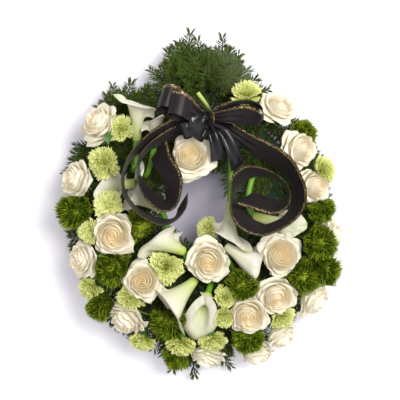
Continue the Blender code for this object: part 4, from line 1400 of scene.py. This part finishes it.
@dataclass
class Fir:
    """Fir branches: bark twigs set with flat needles, and short sprigs that fill the gaps over the foam."""

    slot: str = "fir_green"
    finishes: tuple[Finish, ...] = (Finish.FIR, Finish.BARK)
    needle: float = 20 * MM
    needle_width: float = 1.9 * MM
    step: float = 1.5 * MM
    sprig_step: float = 1.9 * MM
    end_tuft: int = 9
    end_length: float = 18 * MM
    top_sprigs: int = 210
    outer_sprigs: int = 210
    inner_sprigs: int = 72
    scatter: tuple[float, float] = (0.754878, 0.569840)

    def twig(
        self, shape: Shape, line: Array, draw: np.random.Generator, bare: float, radius: float,
        step: float = 0.0, grey: float = 0.0,
    ) -> None:
        """Add one twig and its needles.

        Args:
            shape: The shape that it is added to.
            line: Its centre line.
            draw: The branch's own random numbers.
            bare: The length at its foot without needles, in metres.
            radius: Its radius at its foot, in metres.
            step: How far apart its needles are, in metres, where not the usual.
            grey: How far its needles show their grey undersides, 0 to 1.
        """
        step = step or self.step
        lengths = np.linalg.norm(np.diff(line, axis=0), axis=1)
        total = float(lengths.sum())
        add_tube(shape, line, np.linspace(radius, 0.45 * radius, len(line)), 6, 1)
        marks = np.concatenate([[0], np.cumsum(lengths)])
        at = np.arange(bare, total, step)
        at = np.minimum(np.concatenate([at, at + 0.4 * step, np.full(self.end_tuft, total)]), total)
        foot = np.stack([np.interp(at, marks, line[:, k]) for k in range(3)], -1)
        way = unit(np.stack([np.interp(at, marks, np.gradient(line[:, k])) for k in range(3)], -1))
        side = unit(np.cross(way, vec(0, 0, 1)) + 1e-6)
        up = np.cross(side, way)
        count = len(at)
        around = np.radians(np.where(np.arange(count) % 2, 1, -1) * draw.uniform(20, 100, count))
        outward = up * np.cos(around)[:, None] + side * np.sin(around)[:, None]
        end = np.clip((total - at) / self.end_length, 0, 1)
        lean = (np.radians(draw.uniform(46, 72, count)) * (0.6 + 0.4 * end))[:, None]
        grows = unit(way * np.cos(lean) + outward * np.sin(lean))
        flat = unit(np.cross(grows, up + 0.35 * draw.normal(size=(count, 3))))
        length = self.needle * draw.uniform(0.75, 1.05, count) * (0.82 + 0.18 * end)
        width = self.needle_width * draw.uniform(0.85, 1.1, count)
        tones = grey + (1 - grey) * 0.5 * draw.uniform(0, 1, count) ** 2
        add_blades(shape, foot, grows, flat, length, width, tones)

    def side_twigs(
        self, shape: Shape, line: Array, length: float, draw: np.random.Generator, grey: float = 0.0
    ) -> None:
        """Add the pairs of short twigs that leave a long one."""
        for share in (0.45, 0.62, 0.78):
            k = int(share * (len(line) - 1))
            way = unit(line[k + 1] - line[k])
            side = unit(np.cross(way, vec(0, 0, 1)))
            for sign in (-1, 1):
                aim = unit(way * 0.75 + side * sign * draw.uniform(0.45, 0.65))
                end = line[k] + aim * length * (1.0 - share) * draw.uniform(0.55, 0.75)
                self.twig(shape, line[k] + (end - line[k]) * shares(7), draw, 4 * MM, 1.3 * MM, grey=grey)

    def branch(self, branch: Branch, draw: np.random.Generator) -> None:
        """Build one branch, whose foot stands in the foam."""
        shape = Shape()
        edge = RING_RADIUS + branch.side * FOAM_WIDTH / 2
        foot = on_ring(branch.foot, 19 * MM, edge - branch.side * 17 * MM)
        hub = on_ring(branch.foot, 25 * MM, edge + branch.side * 13 * MM)
        way = unit(hub - foot)
        add_tube(shape, np.stack([foot, (foot + hub) / 2, hub + way * 2 * MM]), 3 * MM, 8, 1)
        for tip in branch.tips:
            end = vec(*tip) * MM
            length = float(np.linalg.norm(end - hub))
            line = bezier(hub, hub + way * 0.3 * length, end + (hub - end) * 0.35, end, shares(15))
            self.twig(shape, line, draw, 14 * MM, 2.1 * MM)
            if length > 90 * MM:
                self.side_twigs(shape, line, length, draw)
        shape.piece(f"{branch.node}_branch", self.finishes, self.slot, branch.node)

    def fan(self) -> None:
        """Build the twigs that thicken the fan at the wreath's top, greyer towards its far right."""
        draw = np.random.default_rng(71)
        shape = Shape()
        for tip in FAN_TIPS:
            end = vec(*tip) * MM
            hub = vec(10 + 0.25 * tip[0], 196, min(46, tip[2] - 8)) * MM
            share = shares(11)
            line = hub + (end - hub) * share + vec(0, 0, 8) * MM * np.sin(math.pi * share)
            grey = float(np.clip((tip[0] + 0.5 * (tip[1] - 240)) / 70, 0, 0.9))
            self.twig(shape, line, draw, 6 * MM, 1.8 * MM, grey=grey)
            self.side_twigs(shape, line, float(np.linalg.norm(end - hub)), draw, grey)
        shape.piece("fir_fan", self.finishes, self.slot)

    def sprig(self, shape: Shape, foot: Array, aim: Array, length: float, draw: np.random.Generator) -> None:
        """Add one short sprig that droops a little towards its tip."""
        share = shares(6)
        line = foot + aim * length * share - vec(0, 0, 5 * MM) * share**2
        self.twig(shape, line, draw, 3 * MM, 1.4 * MM, self.sprig_step)

    def filling(self) -> None:
        """Build the short sprigs that hide the foam and the floor between the blooms."""
        draw = np.random.default_rng(77)
        top, sides = Shape(), Shape()
        for k in range(self.top_sprigs):
            share, round_share = ((k * part) % 1 for part in self.scatter)
            radius = RING_RADIUS + (share - 0.5) * (FOAM_WIDTH - 6 * MM)
            foot = on_ring(360 * round_share, FOAM_TOP - 2 * MM, radius)
            outward = unit(foot * vec(1, 1, 0)) * (share - 0.45) * 2.0
            aim = unit(outward + vec(*draw.normal(size=2) * 0.8, 0.45))
            self.sprig(top, foot, aim, draw.uniform(30, 42) * MM, draw)
        for k in range(self.outer_sprigs):
            angle = (k + draw.uniform(-0.4, 0.4)) * 360 / self.outer_sprigs
            long = 48 + 46 * math.exp(-(((angle - 272) / 58) ** 2)) + draw.uniform(-5, 5)
            foot = on_ring(angle, draw.uniform(20, 48) * MM, RING_RADIUS + 0.5 * FOAM_WIDTH)
            aim = unit(unit(foot * vec(1, 1, 0)) + vec(*draw.normal(size=2) * 0.16, draw.uniform(0.0, 0.22)))
            self.sprig(sides, foot, aim, long * MM, draw)
        for k in range(self.inner_sprigs):
            angle = (k + draw.uniform(-0.4, 0.4)) * 360 / self.inner_sprigs
            foot = on_ring(angle, draw.uniform(26, 48) * MM, RING_RADIUS - 0.5 * FOAM_WIDTH)
            aim = unit(vec(*draw.normal(size=2) * 0.25, 0.05) - unit(foot * vec(1, 1, 0)))
            self.sprig(sides, foot, aim, draw.uniform(22, 36) * MM, draw)
        top.piece("fir_top_sprigs", self.finishes, self.slot)
        sides.piece("fir_side_sprigs", self.finishes, self.slot)

    def oddments(self) -> None:
        """Build the cut stem that shows behind the knot and the leaf beside a rose."""
        stem, leaf = Shape(), Shape()
        add_tube(stem, curve(CUT_STEM, 9), 3.4 * MM, 10)
        stem.piece("cut_stem", [Finish.CUT_STEM], self.slot)
        half = 7.5 * MM * np.sin(math.pi * shares(9, 0.06)) ** 0.8 * np.linspace(-1, 1, 7)
        front = curve(LEAF, 9)[:, None] + half[..., None] * vec(0.92, -0.2, -0.15)
        front = front + np.abs(half)[..., None] * vec(0, 0, 0.35)
        add_sheets(leaf, front[None], 0.5 * MM, vec(0.3, 0.4, 0), vec(0.4, 0.4, 0))
        add_tube(leaf, curve(LEAF_STALK, 9), 1.3 * MM, 6)
        leaf.piece("rose_leaf", [Finish.STEM], self.slot)

    def build(self) -> None:
        """Build all the green."""
        for number, branch in enumerate(BRANCHES):
            self.branch(branch, np.random.default_rng(700 + number))
        self.fan()
        self.filling()
        self.oddments()


# The ribbons' middle lines (mm). The tails and the bow's right loop stand on edge and lean, in degrees
LEFT_TAIL = (
    (8, 148, 124.2, 88), (-8, 145, 117, 74), (-46, 131, 121, 46), (-80, 114, 130, 28), (-112, 87, 134, 12),
    (-126, 62, 135, 4), (-130, 40, 135, 5), (-124, 14, 134, 8), (-98, -14, 134, 11), (-64, -28, 134, 17),
    (-42, -23, 134, 10), (-30, -4, 135, 20), (-27, 12, 137, 17),
)
LEFT_LOOP = (
    (-8, 143, 112, 50), (-46, 122, 113, 34), (-86, 98, 122, 12), (-102, 76, 127, 7), (-104, 58, 128, 7),
    (-99, 38, 129, 14), (-87, 19, 130, 27), (-67, 2, 131, 32), (-54, 0, 131, 33), (-47, 9, 131, 38),
    (-45, 26, 130, 48), (-47, 48, 126, 57), (-63, 74, 117, 62), (-70, 96, 108, 60),
)
RIGHT_TAIL = (
    (22, 148, 124.2, -88), (36, 142, 117, -76), (69, 117, 121, -58), (95, 100, 130, -50), (123, 84, 138, -52),
    (146, 66, 142, -42), (158, 48, 143, -32), (166, 26, 144, -34), (164, -1, 144, -32), (144, -26, 143, -24),
    (111, -41, 143, -27), (92, -38, 143, -37), (76, -29, 143, -43), (64, -15, 143, -40), (57, -2, 144, -26),
    (55, 14, 144, -15), (56, 30, 145, -18), (62, 43, 146, -32), (76, 54, 147, -36), (92, 57, 147, -28),
    (110, 54, 147, -20), (128, 47, 148, -10), (143, 35, 149, -5), (148, 18, 150, -8), (141, 4, 150, -24),
    (126, -2, 149, -42), (108, 2, 148, -47), (89, 8, 148, -46), (73, 12, 148, -40),
)
BOW_RIGHT = (
    (20, 149, 137, -80), (46, 150, 145, -60), (76, 150, 149, -54), (94, 146, 150, -40), (104, 149, 151, -12),
    (103, 161, 152, 0), (90, 170, 152, 5), (68, 172, 151, 6), (44, 165, 147, 14), (20, 151, 134, 60),
)
BOW_LEFT = (
    (8, 149, 137), (-12, 158, 156), (-28, 168, 170), (-46, 172, 168), (-50, 167, 152), (-30, 159, 142),
    (8, 147, 132),
)
BOW_FAR = (
    (8, 150, 134), (-34, 176, 154), (-54, 184, 162), (-67, 180, 150), (-60, 173, 139), (-36, 163, 134),
    (8, 148, 130),
)
SATIN_LOOPS = (
    ((12, 138, 138), (-6, 130, 151), (-26, 125, 149), (-29, 123, 138), (-10, 127, 132), (12, 138, 132)),
    ((10, 146, 146), (2, 146, 158), (-8, 130, 158), (-10, 114, 146), (2, 120, 138), (12, 138, 134)),
)
SATIN_TAILS = (
    ((16, 136, 132), (38, 124, 137), (54, 96, 134), (64, 64, 124)),
    ((14, 136, 130), (22, 118, 136), (28, 96, 132), (31, 76, 126)),
)
KNOT = vec(14, 148, 134) * MM


@dataclass
class Ribbon:
    """A ribbon of one width, laid along lines and gathered in pleats where it is pinched."""

    width: float
    pleats: int = 3
    thickness: float = 0.5 * MM
    columns: int = 15
    crown: float = 0.4 * MM
    deepest: float = 0.16
    length: float = 0.0
    shape: Shape = field(default_factory=Shape)

    def lay(self, line: Array, across: Array, wide: Array, slant: float = 0.0) -> None:
        """Lay the ribbon along a line.

        Args:
            line: The middle of the ribbon, one row for each step.
            across: The unit direction across it, or one at each step.
            wide: How wide it is there, as a share of its width.
            slant: How far its cut end slants, as a share of its width.
        """
        s = np.linspace(-1, 1, self.columns)
        across = np.broadcast_to(across, line.shape)
        way = unit(np.gradient(line, axis=0))
        face = unit(np.cross(way, across))
        span = 0.5 * self.width * wide
        depth = self.pleat_depth(wide) * self.width
        wave = depth[:, None] * np.sin(s * math.pi * self.pleats)[None] + self.crown * (1 - s**2)[None]
        end = np.clip(np.linspace(-7, 1, len(line)), 0, 1)
        cut = slant * span[:, None] * s[None] * end[:, None]
        front = line[:, None] + across[:, None] * (s[None, :, None] * span[:, None, None])
        front = front + face[:, None] * wave[..., None] + way[:, None] * cut[..., None]
        marks = np.concatenate([[0], np.cumsum(np.linalg.norm(np.diff(line, axis=0), axis=1))])
        place = together(s * self.width / MM / 2, (marks[:, None] + self.length) / MM, 0.0)
        self.length += float(marks[-1])
        add_sheets(self.shape, front[None], self.thickness, place[None], vec(0, 0, 0))

    def pleat_depth(self, wide: Array) -> Array:
        """How deep the pleats are where the ribbon is this wide, so that it keeps its cloth.

        Args:
            wide: The share of the full width.

        Returns:
            The depth as a share of the full width.
        """
        depths = np.linspace(0, self.deepest, 33)
        s = np.linspace(-1, 1, 241)
        found = []
        for depth in depths:
            low, high = 0.05, 1.0
            for _ in range(24):
                middle = (low + high) / 2
                wave = depth * np.sin(s * math.pi * self.pleats)
                steps = np.hypot(np.diff(0.5 * middle * s), np.diff(wave))
                low, high = (middle, high) if steps.sum() < 1 else (low, middle)
            found.append(low)
        return np.interp(-wide, -np.array(found), depths)

    def piece(
        self, name: str, finish: Finish, slot: str, node: str, held: str, rests_on: Sequence[str]
    ) -> None:
        """Make the piece, and log that it is ribbon of this width and of the length laid so far.

        Args:
            name: The piece's name.
            finish: Its finish.
            slot: The material slot of the model, handed on to the shape's piece.
            node: The node that it replaces.
            held: How the cloth is held; not used.
            rests_on: The pieces that it rests on; not used.
        """
        made = self.shape.piece(name, [finish], slot, node)
        LOG.info("%s: ribbon %.0f mm wide, %.0f mm long", name, self.width / MM, self.length / MM)


@dataclass
class Bow:
    """The printed ribbon's bow and curled tails, and the satin ribbon that ties it."""

    steps: int = 7
    printed_width: float = 40 * MM
    satin_width: float = 26 * MM
    waist_steps: int = 40

    def tail(self, ribbon: Ribbon, stops: Stops, pinch: float, looped: bool = False) -> None:
        """Lay a length that stands on its lower edge and leans outwards.

        Args:
            ribbon: The ribbon.
            stops: Its place in plan and height (mm), and its lean in degrees.
            pinch: How wide it is at the knot, as a share of its width.
            looped: Whether its other end is at the knot too.
        """
        line = smooth_line(stops, self.steps)
        points, lean = line[:, :3] * MM, np.radians(line[:, 3:])
        way = np.gradient(points, axis=0)
        outward = unit(together(-way[:, 1], way[:, 0], 0.0))
        across = -outward * np.sin(lean) + vec(0, 0, 1) * np.cos(lean)
        share = np.linspace(0, 1, len(points))
        free = 5 * np.minimum(share, 1 - share) if looped else 9 * share
        wide = pinch + (1 - pinch) * np.minimum(1, free)
        ribbon.lay(points, unit(across), wide, 0.0 if looped else 0.6)

    def loop(self, ribbon: Ribbon, stops: Stops, tilt: float) -> None:
        """Lay a loop of the bow, wide at its far end and pinched at the knot.

        Args:
            ribbon: The ribbon.
            stops: Its place in plan and height (mm).
            tilt: How far it is turned in plan, in radians.
        """
        points = smooth_line(stops, self.steps) * MM
        swell = 1.7 * np.sin(math.pi * np.linspace(0, 1, len(points))).clip(0)
        ribbon.lay(points, vec(math.sin(tilt), math.cos(tilt), 0), 0.24 + 0.76 * np.minimum(1, swell) ** 0.8)

    def wrap(self, ribbon: Ribbon, radius: float, wide: float, start: float) -> None:
        """Lay the ribbon once round the bow's waist.

        Args:
            ribbon: The ribbon.
            radius: How far it lies from the waist's middle, in metres.
            wide: How wide it lies there, as a share of its width.
            start: Where it begins, in radians.
        """
        angle = np.linspace(start, start + TURN * 1.02, self.waist_steps)
        grow = radius + np.linspace(0, 0.7, self.waist_steps) * MM
        line = KNOT + together(0.0, grow * np.cos(angle), grow * np.sin(angle))
        ribbon.lay(line, vec(1, 0, 0), np.full(self.waist_steps, wide))

    def loops(self) -> None:
        """Build the bow's loops, the wrap at its waist and the wire pick that holds it."""
        ribbon = Ribbon(self.printed_width)
        self.loop(ribbon, BOW_LEFT, 0.2)
        self.loop(ribbon, BOW_FAR, 0.3)
        self.tail(ribbon, BOW_RIGHT, 0.3, True)
        self.wrap(ribbon, 9 * MM, 0.55, 0.0)
        ribbon.piece(
            "bow_cloth", Finish.PRINTED, "ribbon_black", "ribbon_bow", "folded", ["fir_top_left_branch"]
        )
        pick = Shape()
        top, foot = KNOT + vec(-5.8, 6.3, -3.6) * MM, vec(8, 158, 22) * MM
        add_tube(pick, np.linspace(top, foot, 4), 1.2 * MM, 8)
        pick.piece("bow_pick", [Finish.WIRE], "ribbon_black", "ribbon_bow")

    def tails(self) -> None:
        """Build the two curled tails, of which the left one has an inner coil too."""
        laid = {"ribbon_tail_left": (LEFT_TAIL, LEFT_LOOP), "ribbon_tail_right": (RIGHT_TAIL,)}
        for node, lines in laid.items():
            ribbon = Ribbon(self.printed_width)
            for stops, pinch in zip(lines, (0.2, 0.4)):
                self.tail(ribbon, stops, pinch)
            rests_on = ["rose_19_bloom", "bow_cloth"]
            ribbon.piece(f"{node}_cloth", Finish.PRINTED, "ribbon_black", node, "draped", rests_on)

    def satin(self) -> None:
        """Build the satin ribbon: its turn round the waist, its two loops and its two tails."""
        ribbon = Ribbon(self.satin_width, pleats=2)
        self.wrap(ribbon, 11 * MM, 0.35, 1.0)
        ribbon.pleats = 1
        for stops in (*SATIN_LOOPS, *SATIN_TAILS):
            points = smooth_line(stops, self.steps) * MM
            looped = stops in SATIN_LOOPS
            way = points[len(points) // 2 if looped else -1] - points[0]
            share = np.linspace(0, 1, len(points))
            opened = np.minimum(1, 3 * np.minimum(share, 1 - share)) if looped else share**0.5
            ribbon.lay(points, unit(vec(-way[1], way[0], 0)), 0.25 + 0.75 * opened)
        ribbon.piece("satin_cloth", Finish.SATIN, "satin_black", "satin_ribbon", "folded", ["bow_cloth"])

    def build(self) -> None:
        """Build every ribbon."""
        self.loops()
        self.tails()
        self.satin()


@dataclass
class Base:
    """The foam ring and the plastic tray that it sits in."""

    steps: int = 120
    crumb: float = 0.25 * MM
    tray_edge: float = 0.5 * MM

    def turned(self, profile: Sequence[tuple[float, float]], rough: float = 0.0) -> Shape:
        """A ring turned round +Z from a closed profile of radius and height.

        Args:
            profile: The profile's points, in metres.
            rough: How far the points stray, in metres.

        Returns:
            The ring.
        """
        draw = np.random.default_rng(9)
        outline = np.array(profile)
        angle = (np.arange(self.steps) * TURN / self.steps)[:, None]
        count = len(outline)
        radius, height = outline[None, :, 0], outline[None, :, 1]
        r = radius + rough * draw.normal(size=(self.steps, count))
        z = height + rough * draw.normal(size=(self.steps, count)) * (height > 5 * MM)
        points = together(r * np.cos(angle), r * np.sin(angle), z).reshape(-1, 3)
        grid = np.arange(self.steps * count).reshape(self.steps, count)
        ahead, after = np.roll(grid, -1, 0), np.roll(grid, -1, 1)
        quads = np.stack([grid, ahead, np.roll(ahead, -1, 1), after], -1).reshape(-1, 4)
        shape = Shape()
        shape.add(points, quads, vec(0, 0, 0), vec(0, 0, 0))
        return shape

    def build(self) -> None:
        """Build the foam ring and the tray."""
        inner, outer = RING_RADIUS - FOAM_WIDTH / 2, RING_RADIUS + FOAM_WIDTH / 2
        bottom, corner = TRAY_WALL + SEAT_GAP, FOAM_CHAMFER
        low, high, bend = bottom + 16 * MM, bottom + 30 * MM, FOAM_TOP - 0.3 * corner
        foam = [(inner, bottom), (inner, low), (inner, high), (inner, FOAM_TOP - corner)]
        foam += [(inner + 0.3 * corner, bend), (inner + corner, FOAM_TOP), (RING_RADIUS - 8 * MM, FOAM_TOP)]
        foam += [(RING_RADIUS + 8 * MM, FOAM_TOP), (outer - corner, FOAM_TOP), (outer - 0.3 * corner, bend)]
        foam += [(outer, FOAM_TOP - corner), (outer, high), (outer, low), (outer, bottom)]
        self.turned(foam[::-1], self.crumb).piece("foam_ring_body", [Finish.PAINTED_SHADE_FOAM], "foam_green", "foam_ring")
        near, far = inner - SEAT_GAP, outer + SEAT_GAP
        wall, lip, edge = TRAY_WALL, TRAY_LIP, self.tray_edge
        tray = [(near, wall), (near, lip - edge), (near - edge, lip), (near - wall + edge, lip)]
        tray += [(near - wall, lip - edge), (near - wall, edge), (near - wall + edge, 0)]
        tray += [(far + wall - edge, 0), (far + wall, edge), (far + wall, lip - edge)]
        tray += [(far + wall - edge, lip), (far + edge, lip), (far, lip - edge), (far, wall)]
        self.turned(tray[::-1]).piece("tray_body", [Finish.TRAY], "tray_plastic", "tray", 35)


@dataclass
class Studio:
    """A plain pale floor, soft light from the right and a camera that looks straight down.

    The floor glows evenly away from the wreath; near and under it, from these distances in metres to those,
    its glow fades and its colour darkens, a painted shadow.
    """

    height: float = 2.0
    lens: float = 99.8
    sensor: float = 36
    look_at: tuple[float, float] = (0.0, 0.009)
    floor_half: float = 3.0
    glow_painted_shadow_span: tuple[float, float] = (0.17, 0.34)
    painted_shadow_span: tuple[float, float] = (0.10, 0.24)
    backdrop: Colour = (1.0, 0.97, 0.94)
    backdrop_strength: float = 0.44

    def floor(self) -> None:
        """Lay the floor."""
        mesh = bpy.data.meshes.new("floor")
        half = self.floor_half
        corners = [(-half, -half, 0), (half, -half, 0), (half, half, 0), (-half, half, 0)]
        mesh.from_pydata(corners, [], [(0, 1, 2, 3)])
        sheet = NodeSheet("floor")
        x, y, _ = sheet.split(sheet.space())
        far = (x * x + y * y) ** 0.5
        pale = sheet.mix(sheet.noise(None, 3.0, 2.0), (0.88, 0.865, 0.93), (0.90, 0.885, 0.95))
        # Painted shadow: near and under the wreath the floor's colour darkens and its glow fades, while away
        # from it the glow keeps the floor even.
        sheet.set(
            Base_Color=sheet.mix(1 - far.band(*self.painted_shadow_span), pale, (0.55, 0.525, 0.64)),
            Roughness=0.9,
            Emission_Color=sheet.mix(far.band(*self.glow_painted_shadow_span), (0.10, 0.095, 0.125), (0.92, 0.91, 1.0)),
            Emission_Strength=0.45,
        )
        mesh.materials.append(sheet.material)
        laid = bpy.data.objects.new("floor", mesh)
        bpy.context.scene.collection.objects.link(laid)

    def lamp(self, name: str, place: Array, size: float, power: float, colour: Colour) -> None:
        """Hang a square soft light that faces the wreath.

        Args:
            name: Its name.
            place: Where it hangs, in metres.
            size: Its side, in metres.
            power: Its power, in watts.
            colour: Its colour.
        """
        light = bpy.data.lights.new(name, "AREA")
        light.shape = "SQUARE"
        light.size = size
        light.energy = power
        light.color = colour
        hung = bpy.data.objects.new(name, light)
        hung.location = place
        hung.rotation_euler = Vector(-place).to_track_quat("-Z", "Y").to_euler()
        bpy.context.scene.collection.objects.link(hung)

    def build(self) -> None:
        """Set up the floor, lights, backdrop colour and camera."""
        scene = bpy.context.scene
        self.floor()
        self.lamp("key", vec(0.8, 0.45, 1.9), 1.1, 42.0, (1.0, 0.985, 0.96))
        self.lamp("fill", vec(-1.2, -0.6, 2.0), 1.6, 3.0, (1.0, 0.98, 0.96))
        scene.world = bpy.data.worlds.new("studio")
        scene.world.use_nodes = True
        background = scene.world.node_tree.nodes["Background"]
        background.inputs["Color"].default_value = (*self.backdrop, 1)
        background.inputs["Strength"].default_value = self.backdrop_strength
        scene.view_settings.view_transform = "Standard"
        camera = bpy.data.cameras.new("camera")
        camera.lens = self.lens
        camera.sensor_width = self.sensor
        held = bpy.data.objects.new("camera", camera)
        held.location = (*self.look_at, self.height)
        scene.collection.objects.link(held)
        scene.camera = held


def main() -> None:
    """Dress the wreath and set up the studio."""
    logging.basicConfig(level=logging.INFO, format="%(name)s: %(message)s")
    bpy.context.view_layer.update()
    planting = Planting()
    Base().build()
    Rose(planting).build(ROSES)
    Carnation(planting).build(CARNATIONS)
    DianthusBall(planting).build(DIANTHUS)
    CallaLily(planting).build(CALLAS)
    Fir().build()
    Bow().build()
    Studio().build()
    shown = [thing for thing in bpy.context.scene.objects if thing.type == "MESH" and not thing.hide_render]
    LOG.info("triangles: %d", sum(len(thing.data.loop_triangles) for thing in shown))


if __name__ == "__main__":
    main()
